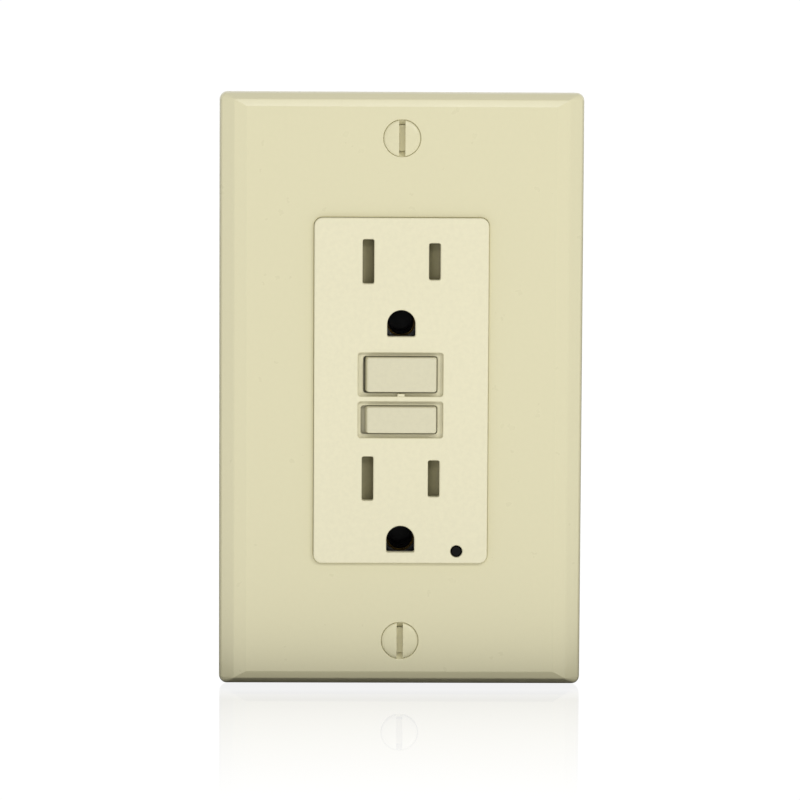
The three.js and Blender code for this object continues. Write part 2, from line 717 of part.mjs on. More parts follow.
// What one terminal needs of the housing, on the hot side: the pocket's walls, and what is cut away.
function terminalPocket(z) {
  const { half, wall, inner, back } = POCKET;
  const outer = BODY.width / 2;
  const [far, front] = [half + wall, BODY.split + FIT];
  return {
    walls: block([inner, outer - 0.5], [front, back + 0.3], [z - far, z + far]),
    cuts: [
      block([inner + wall, outer - REAR.wall], [front - 1, back], [z - half, z + half]),
      block([inner - 1, inner + wall + 0.1], [front - 1, 16.2], [z - half + 0.8, z + 2.4]),
      block([outer - 3, outer + 1], [6.6, 18.4], [z - 5.4, z + 5.4]),
      rod("y", 1.25, [back - 1, REAR.step + 1], [TERMINAL.outer + 0.25, z - 3.1], 16),
      rod("y", 1.25, [back - 1, REAR.step + 1], [TERMINAL.outer + 0.25, z + 3.1], 16),
    ],
  };
}

function rearHousing() {
  const front = BODY.split + FIT;
  const { step, back, width, height, wall, ledge } = REAR;
  const [w, h] = [BODY.width / 2 - wall, BODY.height / 2 - wall];
  const [iw, ih] = [width / 2 - wall, height / 2 - wall];
  const wide = lofted(BODY.width, BODY.height, BODY.corner, [
    [0, front],
    [0, step - 0.6],
    [0.6, step],
  ]);
  const deep = lofted(width, height, 2.0, [
    [0, step - 1],
    [0, back - 0.9],
    [0.9, back],
  ]);
  const hollow = [
    block([-w, w], [front - 1, step - ledge], [-h, h]),
    block([-iw, iw], [front - 1, back - wall], [-ih, ih]),
  ];
  const pockets = [-TERMINAL.z, TERMINAL.z].map(terminalPocket);
  const corners = [-1, 1].flatMap((sx) => [-1, 1].map((sz) => [sx * BODY_SCREW.x, sz * BODY_SCREW.z]));
  const posts = corners.map((at) => rod("y", 3.0, [front, step - 0.7], at, 20));
  const bores = corners.flatMap((at) => [
    rod("y", 1.4, [0, 30], at, 16),
    rod("y", 2.5, [step - 2.3, 30], at, 20),
  ]);
  const [tongue, gap] = [STRAP.neck / 2 + FIT, BODY.height / 2];
  const tongues = [-1, 1].map((side) => {
    const z = [side * (gap - BODY.wall), side * gap].sort((p, q) => p - q);
    return block([-tongue, tongue], [FIT, front + 1], z);
  });
  const walls = pockets.flatMap((pocket) => [pocket.walls, mirrorX(pocket.walls)]);
  const cuts = pockets.flatMap((pocket) => pocket.cuts.flatMap((tool) => [tool, mirrorX(tool)]));
  return cut(
    join(cut(join(wide, deep), ...hollow), ...walls, ...posts, ...tongues),
    ...cuts,
    ...bores,
  );
}

// A long screw that holds the rear housing to the front cover, driven from the back.
function bodyScrew([x, z]) {
  const [head, seat, tip] = [REAR.step - 0.2, REAR.step - 2.2, 0];
  const shaft = join(rod("y", 2.3, [seat, head], [x, z], 20), rod("y", 1.2, [tip, seat + 0.2], [x, z], 12));
  return cut(shaft, block([x - 0.45, x + 0.45], [head - 0.9, head + 1], [z - 4, z + 4]));
}

// ---------------------------------------------------------------- materials and assembly

function material(color, roughness, metalness = 0) {
  return new THREE.MeshStandardMaterial({ color, roughness, metalness });
}

const IVORY = material(0xded8b4, 0.42);
const FACE_IVORY = material(0xe4deb9, 0.5);
const SHUTTER_GREY = material(0x8c886c, 0.5);
const HOUSING = material(0xd6cfae, 0.55);
const NATURAL = material(0xcfcdc4, 0.6);
const CARBON = material(0x2a2a2c, 0.6);
const STEEL = material(0xb9bcbf, 0.35, 1);
const BRASS = material(0xc9a353, 0.3, 1);
const SILVERED = material(0xc4c6c6, 0.3, 1);
const COPPER = material(0xb4673a, 0.35, 1);
const SPRING = material(0x9a9c9f, 0.3, 1);
const GREEN_SCREW = material(0x3f7d46, 0.4, 0.6);
const FERRITE = material(0x4d3a2e, 0.5);
const BOARD_GREEN = material(0x2f6b3a, 0.45);
const BLUE = material(0x2f5da8, 0.4);
const SMOKE = material(0x1c1b18, 0.2);
const FIBRE = material(0x8f8b80, 0.8);

const part = new THREE.Group();
const device = new THREE.Group();
part.add(device);

function add(name, made, look, group = device) {
  const mesh = new THREE.Mesh(geometryOf(made), look);
  mesh.name = name;
  group.add(mesh);
}

add("wall_plate", wallPlate(), IVORY);
add("plate_screw_top", plateScrew(PLATE_SCREW_Z), IVORY);
add("plate_screw_bottom", plateScrew(-PLATE_SCREW_Z), IVORY);

add("front_cover", frontCover(), FACE_IVORY);
add("reset_button", resetButton(), FACE_IVORY);
add("test_button", testButton(), FACE_IVORY);
for (const outlet of OUTLETS) {
  add(`${outlet.name}_hot_shutter`, shutter(outlet), SHUTTER_GREY);
  add(`${outlet.name}_neutral_shutter`, mirrorX(shutter(outlet)), SHUTTER_GREY);
  add(`${outlet.name}_shutter_spring`, shutterSpring(outlet), SPRING);
  add(`${outlet.name}_ground_contact`, groundContact(outlet), BRASS);
}
add("indicator_light_pipe", lightPipe(), SMOKE);
add("indicator_led", indicatorLed(), SMOKE);

add("mounting_strap", mountingStrap(), STEEL);
add("ground_screw", groundScrew(), GREEN_SCREW);
for (const [end, side] of [["top", 1], ["bottom", -1]]) {
  add(`box_screw_${end}`, boxScrew(side * BOX_SCREW_Z), STEEL);
  add(`retaining_washer_${end}`, retainingWasher(side * BOX_SCREW_Z), FIBRE);
}

const SIDES = [
  ["hot", (made) => made, BRASS],
  ["neutral", mirrorX, SILVERED],
];
for (const [side, place, metal] of SIDES) {
  add(`${side}_face_contact`, place(faceContact()), BRASS);
  add(`line_${side}_terminal`, place(lineTerminal()), BRASS);
  add(`${side}_contact_arm`, place(contactArm()), COPPER);
  for (const [end, z] of [["line", TERMINAL.z], ["load", -TERMINAL.z]]) {
    add(`${end}_${side}_clamp`, place(clampPlate(z)), metal);
    add(`${end}_${side}_screw`, place(terminalScrew(z)), metal);
  }
}

add("reset_pin", resetPin(), STEEL);
add("reset_spring", resetSpring(), SPRING);
add("contact_carrier", contactCarrier(), CARBON);
add("break_spring", breakSpring(), SPRING);
add("latch_plate", latchPlate(), STEEL);
add("solenoid_bobbin", solenoidBobbin(), NATURAL);
add("solenoid_winding", solenoidWinding(), COPPER);
add("solenoid_frame", solenoidFrame(), STEEL);
add("solenoid_plunger", solenoidPlunger(), STEEL);
add("plunger_spring", plungerSpring(), SPRING);
add("test_blade", testBlade(), BRASS);

add("ground_fault_core", ringCore(TOROID.front), COPPER);
add("grounded_neutral_core", ringCore(TOROID.front + TOROID.thick + 0.3), FERRITE);
add("core_housing", coreHousing(), CARBON);
add("circuit_board", circuitBoard(), BOARD_GREEN);
add("surge_varistor", surgeVaristor(), BLUE);
add("filter_capacitor", filterCapacitor(), BRASS);
add("control_chip", controlChip(), CARBON);

add("separator", separator(), CARBON);
add("rear_housing", rearHousing(), HOUSING);
for (const [end, sz] of [["top", 1], ["bottom", -1]]) {
  for (const [side, sx] of [["left", -1], ["right", 1]]) {
    add(`body_screw_${end}_${side}`, bodyScrew([sx * BODY_SCREW.x, sz * BODY_SCREW.z]), STEEL);
  }
}

device.position.y = -(RESET.front + REAR.back) / 2;

export default part;
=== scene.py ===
"""The looks of a ground-fault outlet and its wall plate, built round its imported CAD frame.

Lengths in this script are millimetres in the outlet's own terms: X to the right, Z up, and Y into
the wall from the wall plane. at() turns them into the frame's metres.
"""
import json
from math import atan2, copysign, cos, pi, radians, sin, tan

import bmesh
import bpy
from mathutils import Matrix, Vector
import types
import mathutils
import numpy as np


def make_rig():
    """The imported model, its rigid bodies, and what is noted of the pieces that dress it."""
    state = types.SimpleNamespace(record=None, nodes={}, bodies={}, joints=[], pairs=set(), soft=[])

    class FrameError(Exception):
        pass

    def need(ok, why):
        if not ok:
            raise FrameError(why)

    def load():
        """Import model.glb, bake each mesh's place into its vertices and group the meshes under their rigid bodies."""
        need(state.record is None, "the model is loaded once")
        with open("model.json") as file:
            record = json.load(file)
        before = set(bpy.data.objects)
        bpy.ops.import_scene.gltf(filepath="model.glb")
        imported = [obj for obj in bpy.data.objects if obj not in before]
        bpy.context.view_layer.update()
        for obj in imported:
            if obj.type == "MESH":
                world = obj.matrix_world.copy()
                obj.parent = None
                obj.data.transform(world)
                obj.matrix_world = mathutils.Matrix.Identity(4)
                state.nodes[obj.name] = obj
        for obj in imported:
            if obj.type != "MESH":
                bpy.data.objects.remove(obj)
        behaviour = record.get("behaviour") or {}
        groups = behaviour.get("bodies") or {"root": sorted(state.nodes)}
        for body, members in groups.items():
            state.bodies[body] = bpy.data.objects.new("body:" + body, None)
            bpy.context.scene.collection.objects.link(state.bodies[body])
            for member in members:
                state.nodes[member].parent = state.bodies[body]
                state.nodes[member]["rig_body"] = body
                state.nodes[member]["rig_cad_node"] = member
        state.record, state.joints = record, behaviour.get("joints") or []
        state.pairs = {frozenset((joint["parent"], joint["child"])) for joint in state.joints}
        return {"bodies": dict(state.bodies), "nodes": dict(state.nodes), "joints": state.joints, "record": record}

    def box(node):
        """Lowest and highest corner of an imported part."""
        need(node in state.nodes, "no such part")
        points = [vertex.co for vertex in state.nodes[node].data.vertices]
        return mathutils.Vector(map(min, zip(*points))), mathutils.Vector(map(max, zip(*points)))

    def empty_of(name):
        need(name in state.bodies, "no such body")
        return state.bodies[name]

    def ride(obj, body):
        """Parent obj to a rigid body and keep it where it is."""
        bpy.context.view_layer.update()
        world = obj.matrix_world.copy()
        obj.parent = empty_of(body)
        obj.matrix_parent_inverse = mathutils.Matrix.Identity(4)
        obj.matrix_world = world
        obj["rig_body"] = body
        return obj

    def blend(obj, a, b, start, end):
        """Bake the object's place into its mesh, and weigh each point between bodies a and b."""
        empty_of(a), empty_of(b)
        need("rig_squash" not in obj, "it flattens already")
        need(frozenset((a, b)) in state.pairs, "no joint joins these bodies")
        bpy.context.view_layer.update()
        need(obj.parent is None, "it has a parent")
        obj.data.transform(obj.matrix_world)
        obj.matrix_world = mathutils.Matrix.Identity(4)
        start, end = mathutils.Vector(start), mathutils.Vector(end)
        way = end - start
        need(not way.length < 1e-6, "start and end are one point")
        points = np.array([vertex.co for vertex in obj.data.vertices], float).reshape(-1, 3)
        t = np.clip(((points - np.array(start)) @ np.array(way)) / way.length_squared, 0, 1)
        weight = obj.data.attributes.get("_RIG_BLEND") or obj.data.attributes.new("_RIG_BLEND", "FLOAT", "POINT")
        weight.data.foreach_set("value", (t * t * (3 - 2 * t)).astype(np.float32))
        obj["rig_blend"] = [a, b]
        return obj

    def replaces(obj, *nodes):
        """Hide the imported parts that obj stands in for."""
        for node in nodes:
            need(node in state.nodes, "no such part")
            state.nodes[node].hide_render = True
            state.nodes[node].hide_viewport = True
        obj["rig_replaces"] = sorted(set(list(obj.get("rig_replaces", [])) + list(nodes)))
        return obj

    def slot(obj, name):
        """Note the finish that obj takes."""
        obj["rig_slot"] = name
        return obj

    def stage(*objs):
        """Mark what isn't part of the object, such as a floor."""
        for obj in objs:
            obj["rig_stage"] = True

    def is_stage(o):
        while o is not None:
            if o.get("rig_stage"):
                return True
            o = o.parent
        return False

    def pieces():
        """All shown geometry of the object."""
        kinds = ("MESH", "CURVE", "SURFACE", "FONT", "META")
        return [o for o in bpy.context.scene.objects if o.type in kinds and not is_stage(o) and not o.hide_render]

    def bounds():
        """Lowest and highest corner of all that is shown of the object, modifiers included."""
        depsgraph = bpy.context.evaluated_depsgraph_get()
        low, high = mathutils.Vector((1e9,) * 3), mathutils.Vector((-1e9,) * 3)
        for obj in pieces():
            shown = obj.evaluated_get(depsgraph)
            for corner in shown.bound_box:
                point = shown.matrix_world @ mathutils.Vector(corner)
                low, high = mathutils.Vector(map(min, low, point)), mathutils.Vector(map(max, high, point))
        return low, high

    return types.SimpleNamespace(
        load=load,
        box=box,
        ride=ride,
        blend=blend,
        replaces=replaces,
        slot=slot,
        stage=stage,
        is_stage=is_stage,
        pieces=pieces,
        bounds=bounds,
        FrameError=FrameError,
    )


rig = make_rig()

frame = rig.load()
box_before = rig.bounds()
RECORD = frame["record"]
NODES = frame["nodes"]
BODY_OF = {n: b for b, names in RECORD["behaviour"]["bodies"].items() for n in names}
SLOT_OF = {s["node"]: s["material_slot"] for s in RECORD["subparts"]}
WALL_Y = next(m for m in RECORD["mounts"] if m["name"] == "wall_plane")["pos_m"][1]
MM = 0.001
INCH = 25.4


def at(x, y, z):
    return Vector((x * MM, y * MM + WALL_Y, z * MM))


def here(x, y, z):
    """The same axes with no shift, for a mesh that is put in its place afterwards."""
    return Vector((x, y, z)) * MM


def along(axis, x, y, z):
    """A to() for a Shell whose own Y axis runs along an axis of the frame, through a point."""
    places = {
        "x": lambda u, v, w: at(x + v, y + u, z + w),
        "y": lambda u, v, w: at(x + u, y + v, z + w),
        "z": lambda u, v, w: at(x + u, y + w, z + v),
    }
    return places[axis]


def span(node):
    """A CAD node's lowest and highest corners, in the outlet's millimetres."""
    return [Vector((v.x, v.y - WALL_Y, v.z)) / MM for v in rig.box(node)]


def middle(node):
    low, high = span(node)
    return (low + high) / 2


def axis_of(node, axis):
    """along() an axis through a CAD node's middle, with that axis's own distances from the origin."""
    mid = middle(node)
    return along(axis, *(0 if name == axis else v for name, v in zip("xyz", mid)))


def sided(side, a, b):
    """A stretch from a to b away from the middle, on the side given by 1 or -1."""
    return sorted((side * a, side * b))


# ---- outlines


def rounded(width, height, radius, x=0.0, z=0.0, steps=8):
    """A rounded rectangle's ring of (x, z) points, as a function of how far it is offset outwards."""

    def ring(offset=0.0, offset_z=None):
        oz = offset if offset_z is None else offset_z
        r = max(radius + max(offset, oz), 0.03)
        w, h = width / 2 + offset - r, height / 2 + oz - r
        points = []
        for k, (sx, sz) in enumerate(((1, -1), (1, 1), (-1, 1), (-1, -1))):
            for i in range(steps + 1):
                a = radians(90 * (k - 1 + i / steps))
                points.append((x + sx * w + r * cos(a), z + sz * h + r * sin(a)))
        return points

    return ring


def circle(radius, x=0.0, z=0.0, steps=48):
    """The same for a circle."""

    def ring(offset=0.0):
        turns = [2 * pi * i / steps for i in range(steps)]
        r = radius + offset
        return [(x + r * cos(a), z + r * sin(a)) for a in turns]

    return ring


def arch(radius, flat, z, corner=0.35, steps=24):
    """The same for a ground opening: a half circle over short straight sides and a flat sill."""

    def ring(offset=0.0):
        r, sill = radius + offset, z - flat - offset
        c = max(corner + offset, 0.03)
        points = []
        for sign in (-1, 1):
            for i in range(5):
                a = radians(-180 + 90 * i / 4 if sign < 0 else -90 + 90 * i / 4)
                points.append((sign * (r - c) + c * cos(a), sill + c + c * sin(a)))
        for i in range(steps + 1):
            a = pi * i / steps
            points.append((r * cos(a), z + r * sin(a)))
        return points

    return ring


def filleted(corners, steps=5):
    """A closed outline with each (x, z, radius) corner rounded by an arc."""
    points = []
    count = len(corners)
    for i, (*_, radius) in enumerate(corners):
        corner, before, after = (Vector(corners[(i + k) % count][:2]) for k in (0, -1, 1))
        a, b = (before - corner).normalized(), (after - corner).normalized()
        half = a.angle(b) / 2
        centre = corner + (a + b).normalized() * (radius / sin(half))
        reach = radius / tan(half)
        start, end = corner + a * reach - centre, corner + b * reach - centre
        first = atan2(start.y, start.x)
        sweep = (atan2(end.y, end.x) - first + pi) % (2 * pi) - pi
        for k in range(steps + 1):
            turn = first + sweep * k / steps
            points.append((centre.x + radius * cos(turn), centre.y + radius * sin(turn)))
    return points


def quarter(radius, y, start=0.0, steps=4):
    """(offset, y) pairs that round a hole's front edge from the face at y down into the hole."""
    pairs = []
    for i in range(steps + 1):
        a = pi / 2 * i / steps
        pairs.append((start + radius * (1 - sin(a)), y + radius * (1 - cos(a))))
    return pairs


def quarter_out(radius, y, steps=4):
    """The same for an outside edge: from inside the outline at y, out to the outline."""
    return [(-offset, depth) for offset, depth in quarter(radius, y, 0.0, steps)]


def stack(outline, y, steps):
    """Rings of one outline as (points, y), at each (offset, distance behind y)."""
    return [(outline(offset), y + back) for offset, back in steps]


# ---- meshes


class Shell:
    """A mesh made of rings of points, the strips between them and flat fills."""

    def __init__(self, to=at):
        self.bm = bmesh.new()
        self.to = to
        self.tint = 0  # which of the piece's materials the next faces take

    def face(self, corners):
        made = self.bm.faces.new(corners)
        made.material_index = self.tint
        return made

    def ring(self, points, y):
        return [self.bm.verts.new(self.to(x, y, z)) for x, z in points]

    def strip(self, a, b):
        for i in range(len(a)):
            j = (i + 1) % len(a)
            self.face((a[i], a[j], b[j], b[i]))

    def through(self, rings):
        """Joins rings given as (points, y) that all hold the same number of points."""
        made = [self.ring(points, y) for points, y in rings]
        for a, b in zip(made, made[1:]):
            self.strip(a, b)
        return made

    def fill(self, *rings):
        """Fills the flat area between an outer ring and the rings inside it."""
        edges = []
        for ring in rings:
            for i in range(len(ring)):
                pair = (ring[i], ring[(i + 1) % len(ring)])
                edges.append(self.bm.edges.get(pair) or self.bm.edges.new(pair))
        made = bmesh.ops.triangle_fill(self.bm, use_beauty=True, edges=edges)
        for item in made["geom"]:
            if isinstance(item, bmesh.types.BMFace):
                item.material_index = self.tint

    def caps(self, chains):
        """Fills the flat front and back between the first of some chains of rings and the others."""
        self.fill(*(chain[0] for chain in chains))
        self.fill(*(chain[-1] for chain in chains))

    def loft(self, rings):
        """A closed body through rings given as (points, y)."""
        made = self.through(rings)
        self.face(made[0])
        self.face(made[-1])

    def lathe(self, profile, x=0.0, z=0.0, steps=48):
        """A turned body about Y through (x, z). The profile is (radius, y) pairs. A radius of 0 closes
        an end, a profile that doesn't start at 0 closes on itself, and a radius may be a function."""
        rings = []
        for radius, y in profile:
            if radius == 0:
                rings.append([self.bm.verts.new(self.to(x, y, z))])
                continue
            points = []
            for i in range(steps):
                a = 2 * pi * i / steps
                r = radius(i / steps) if callable(radius) else radius
                points.append((x + r * cos(a), z + r * sin(a)))
            rings.append(self.ring(points, y))
        if profile[0][0] != 0:
            rings.append(rings[0])
        for a, b in zip(rings, rings[1:]):
            if len(a) == len(b):
                self.strip(a, b)
                continue
            tip, rim = (a[0], b) if len(a) == 1 else (b[0], a)
            for i in range(len(rim)):
                self.face((tip, rim[i], rim[(i + 1) % len(rim)]))

    def wire(self, path, radius, sides=8):
        """A round wire along a list of points, with flat ends."""
        rings, side = [], None
        for i, point in enumerate(path):
            ahead = (path[min(i + 1, len(path) - 1)] - path[max(i - 1, 0)]).normalized()
            side = ahead.orthogonal() if side is None else side - ahead * side.dot(ahead)
            side.normalize()
            up = ahead.cross(side)
            spokes = [2 * pi * k / sides for k in range(sides)]
            points = [point + (side * cos(a) + up * sin(a)) * radius for a in spokes]
            rings.append([self.bm.verts.new(self.to(*p)) for p in points])
        for a, b in zip(rings, rings[1:]):
            self.strip(a, b)
        self.face(rings[0])
        self.face(rings[-1])

    def brick(self, xs, ys, zs, edge=0.15, segments=3):
        """A block with rounded edges, as its own closed body."""
        part = bmesh.new()
        bmesh.ops.create_cube(part, size=1.0)
        for v in part.verts:
            v.co = [ends[int(c > 0)] for ends, c in zip((xs, ys, zs), v.co)]
        if edge:
            how = {"offset": edge, "segments": segments, "profile": 0.5, "affect": "EDGES"}
            bmesh.ops.bevel(part, geom=part.edges[:], **how)
        copies = {v: self.bm.verts.new(self.to(*v.co)) for v in part.verts}
        for face in part.faces:
            self.face([copies[v] for v in face.verts])
        part.free()
        return self


def block(xs, ys, zs):
    """A plain sharp-edged block, to cut with or to join on."""
    return Shell().brick(xs, ys, zs, 0)


def helix(radius, start, end, turns, steps=24, closed_ends=0.8):
    """Points of a coil about Y. Its pitch tightens towards the ends, as a ground spring's does."""
    points = []
    count = int(turns * steps)
    for k in range(count + 1):
        t = k / count
        y = start + (end - start) * (t - closed_ends * sin(2 * pi * t) / (2 * pi))
        a = 2 * pi * turns * t
        points.append(Vector((radius * cos(a), y, radius * sin(a))))
    return points


def finish_mesh(bm, name, sharp_angle=38):
    bmesh.ops.remove_doubles(bm, verts=bm.verts, dist=2e-7)
    bmesh.ops.recalc_face_normals(bm, faces=bm.faces)
    mesh = bpy.data.meshes.new(name)
    bm.to_mesh(mesh)
    bm.free()
    return smooth(mesh, sharp_angle)


def smooth(mesh, sharp_angle=38):
    mesh.shade_smooth()
    mesh.set_sharp_from_angle(angle=radians(sharp_angle))
    return mesh


def thing(name, mesh):
    obj = bpy.data.objects.new(name, mesh)
    bpy.context.scene.collection.objects.link(obj)
    return obj


def solid(name, shell, sharp_angle=38):
    return thing(name, finish_mesh(shell.bm, name, sharp_angle))


def bake(obj):
    """Makes an object's modifiers part of its mesh."""
    graph = bpy.context.evaluated_depsgraph_get()
    graph.update()
    mesh = bpy.data.meshes.new_from_object(obj.evaluated_get(graph))
    obj.modifiers.clear()
    obj.data = mesh
    return obj


def shape(obj, operation, *tools):
    """Joins (UNION) or cuts (DIFFERENCE) an object with closed shells, one after another."""
    for tool in tools:
        helper = solid("tool", tool)
        made = obj.modifiers.new("shape", "BOOLEAN")
        made.operation, made.object, made.solver = operation, helper, "EXACT"
        bake(obj)
        bpy.data.objects.remove(helper)
    return obj


def even(obj):
    """Shades an object's flats as flats, next to its rounded edges."""
    obj.modifiers.new("weighted", "WEIGHTED_NORMAL").keep_sharp = True
    return obj


def soften(obj, width, segments=2, angle=40):
    """Rounds the sharp edges of an object."""
    made = obj.modifiers.new("edges", "BEVEL")
    made.width, made.segments, made.limit_method = width * MM, segments, "ANGLE"
    made.angle_limit = radians(angle)
    made.harden_normals = True
    return even(obj)


def show(obj, node, looks=(), rides=True):
    """Puts a finished object in place of a CAD node, riding on that node's body."""
    for slot_name in (SLOT_OF[node], *looks):
        obj.data.materials.append(LOOKS[slot_name])
    if rides:
        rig.ride(obj, BODY_OF[node])
    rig.replaces(obj, node)
    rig.slot(obj, SLOT_OF[node])
    return obj


def piece(name, shell, node, looks=(), sharp_angle=38):
    return show(even(solid(name, shell, sharp_angle)), node, looks)


# ---- materials


class Nodes:
    """Adds and links the shader nodes of a new material, or of the world."""

    def __init__(self, name, world=None):
        self.material = world or bpy.data.materials.new(name)
        self.material.use_nodes = True
        self.tree = self.material.node_tree
        self.bsdf = self.tree.nodes.get("Principled BSDF")
        self.places = self.add("TexCoord").outputs
        self.where = self.places["Object"]

    def add(self, kind, inputs=(), **settings):
        node = self.tree.nodes.new("ShaderNode" + kind)
        for key, value in settings.items():
            setattr(node, key, value)
        for key, value in dict(inputs).items():
            self.set(node.inputs[key], value)
        return node

    def set(self, socket, value):
        """Gives an input a value, another node's output, or a node for its first output."""
        if isinstance(value, bpy.types.Node):
            value = value.outputs[0]
        if isinstance(value, bpy.types.NodeSocket):
            self.tree.links.new(value, socket)
        else:
            socket.default_value = value

    def noise(self, per_mm, detail=3.0, stretch=(1, 1, 1), rough=0.55):
        """Noise with about per_mm features in a millimetre, 0 to 1."""
        spread = self.add("Mapping", {"Vector": self.where, "Scale": [s * 1000 for s in stretch]})
        inputs = {"Vector": spread, "Scale": per_mm, "Detail": detail, "Roughness": rough}
        return self.add("TexNoise", inputs)

    def scaled(self, value, low, high, from_low=0.25, from_high=0.75):
        inputs = {"Value": value, "From Min": from_low, "From Max": from_high}
        return self.add("MapRange", {**inputs, "To Min": low, "To Max": high})

    def mix(self, factor, a, b):
        """A colour that is a where the factor is 0 and b where it is 1."""
        made = self.add("Mix", data_type="RGBA")
        self.set(made.inputs[0], factor)
        for socket, value in ((made.inputs[6], a), (made.inputs[7], b)):
            if isinstance(value, (tuple, list)):
                value = (*value[:3], 1.0)
            self.set(socket, value)
        return made.outputs[2]

    def blend(self, share, a, b):
        """A shader that is a where the share is 0 and b where it is 1."""
        return self.add("MixShader", {0: share, 1: a, 2: b})

    def bump(self, height, depth, strength=1.0, below=None):
        inputs = {"Height": height, "Distance": depth * MM, "Strength": strength}
        made = self.add("Bump", inputs)
        if below is not None:
            self.set(made.inputs["Normal"], below)
        return made

    def painted_shade_mask(self, reach):
        """0 deep in a recess narrower than reach, 1 in the open: a mask for shade painted into a colour."""
        made = self.add("AmbientOcclusion", {"Distance": reach * MM}, samples=8)
        return self.scaled(made.outputs["AO"], 0.0, 1.0, 0.25, 0.65)

    def edges(self, radius):
        """1 where the surface turns a corner within radius, 0 on the flats."""
        round_ = self.add("Bevel", {"Radius": radius * MM}, samples=4)
        straight = self.add("NewGeometry").outputs["Normal"]
        inputs = {0: round_, 1: straight}
        same = self.add("VectorMath", inputs, operation="DOT_PRODUCT").outputs["Value"]
        return self.scaled(same, 1.0, 0.0, 0.75, 0.99)

    def out(self, **values):
        for key, value in values.items():
            if isinstance(value, (tuple, list)):
                value = (*value[:3], 1.0)
            self.set(self.bsdf.inputs[key.replace("_", " ")], value)
        return self.material


def linear(color):
    return tuple(c / 12.92 if c <= 0.04045 else ((c + 0.055) / 1.055) ** 2.4 for c in color)


def shade(color, factor):
    return tuple(min(1.0, c * factor) for c in color)


def plastic(name, color, rough=0.4, grain=0.004, grain_per_mm=3.0, mottle=0.02, coat=0.0, painted_recess_shade=1.0):
    """Moulded plastic: faint drifts of colour, fine mottling, a grained skin and uneven gloss. In the
    bottom of narrow recesses, painted shade can darken its colour to a given share of itself."""
    n = Nodes(name)
    drift = n.mix(n.noise(0.03, 2.0), shade(color, 1 - mottle), shade(color, 1 + mottle))
    speckle = n.scaled(n.noise(1.1, 3.0), 0.0, 1.0, 0.35, 0.65)
    tone = n.mix(speckle, shade(color, 1 - mottle * 1.4), shade(color, 1 + mottle * 0.9))
    base = n.mix(0.5, drift, tone)
    # painted shade: a darker colour in the bottom of narrow recesses
    if painted_recess_shade < 1:
        base = n.mix(n.painted_shade_mask(3.0), shade(color, painted_recess_shade), base)
    fine = n.bump(n.noise(grain_per_mm, 2.0), grain)
    peel = n.bump(n.noise(0.35, 1.0), grain * 1.5, 0.6, fine)
    gloss = n.scaled(n.noise(0.25, 3.0), rough * 0.88, rough * 1.12)
    n.out(Base_Color=base, Roughness=gloss, Normal=peel)
    return n.out(IOR=1.49, Coat_Weight=coat, Coat_Roughness=0.18)


def metal(name, color, rough=0.32, stretch=(1, 1, 1), tarnish=0.12, scratch=0.003):
    """Plated or drawn metal: directional scratches, patchy tarnish, edges a little lighter, painted shade deep in
    recesses and worn gloss.
    """
    n = Nodes(name)
    streaks = n.noise(2.5, 4.0, stretch, 0.7)
    patches = n.noise(0.22, 4.0)
    worn = n.mix(n.scaled(patches, 0.0, tarnish * 2.4, 0.4, 0.75), color, shade(color, 0.45))
    drawn = n.mix(n.scaled(streaks, 0.0, 0.3), worn, shade(color, 0.78))
    base = n.mix(n.scaled(n.edges(0.15), 0.0, 0.6, 0.0, 1.0), drawn, shade(color, 1.2))
    # painted shade: the colour goes nearly black deep in recesses
    base = n.mix(n.painted_shade_mask(8.0), shade(color, 0.015), base)
    gloss = n.scaled(patches, rough * 0.75, rough * 1.35)
    return n.out(Base_Color=base, Metallic=1.0, Roughness=gloss, Normal=n.bump(streaks, scratch))


def painted(name, color, rough=0.35):
    """Enamel over a metal screw, slightly lumpy and uneven in tone and gloss."""
    n = Nodes(name)
    base = n.mix(n.noise(0.9, 3.0), shade(color, 0.95), shade(color, 1.04))
    skin = n.bump(n.noise(1.3, 2.0), 0.02, 0.5)
    gloss = n.scaled(n.noise(0.6), rough * 0.8, rough * 1.2)
    return n.out(Base_Color=base, Roughness=gloss, Normal=skin)


ALONG_Z = (1, 1, 0.06)
EVENLY = (1, 1, 1)
# each slot's kind of finish, and what that kind needs besides the record's colour:
# plastic: roughness, depth of the grain, grains in a millimetre, mottle, clear coat, painted shade in recesses
# metal: roughness, direction of its scratches, tarnish; painted: roughness
FINISHES = {
    "plate_ivory": (plastic, 0.3, 0.0006, 1.2, 0.008, 0.2),
    # the face's last number is painted shade in its moats and other recesses
    "face_ivory": (plastic, 0.46, 0.006, 3.2, 0.03, 0.0, 0.8),
    "shutter_grey": (plastic, 0.5, 0.005, 3.0, 0.06),
    "housing_ivory": (plastic, 0.55, 0.008, 2.5, 0.03),
    "natural_plastic": (plastic, 0.5, 0.006),
    "black_plastic": (plastic, 0.5, 0.008, 2.5, 0.2),
    "strap_steel": (metal, 0.34, ALONG_Z, 0.16),
    "screw_steel": (metal, 0.3, EVENLY, 0.14),
    "brass": (metal, 0.28, ALONG_Z, 0.22),
    "silvered": (metal, 0.26, EVENLY, 0.1),
    "copper": (metal, 0.3, ALONG_Z, 0.2),
    "spring_steel": (metal, 0.25, EVENLY, 0.12),
    "green_screw_paint": (painted, 0.3),
    "ivory_screw_paint": (painted, 0.34),
    "ferrite": (plastic, 0.6, 0.01, 2.0, 0.15),
    "board_green": (plastic, 0.35, 0.004, 1.5, 0.1, 0.3),
    "varistor_blue": (plastic, 0.3, 0.02, 1.0, 0.08),
    "capacitor_tan": (plastic, 0.35, 0.01, 1.2, 0.08),
    # the lamp's last number is painted shade, nearly black, down its hole
    "lamp_smoke": (plastic, 0.15, 0.001, 2.0, 0.05, 0.0, 0.1),
    "fibre": (plastic, 0.85, 0.03, 1.6, 0.2),
}
COLORS = {m["slot"]: linear(m["base_color"]) for m in RECORD["materials"]}
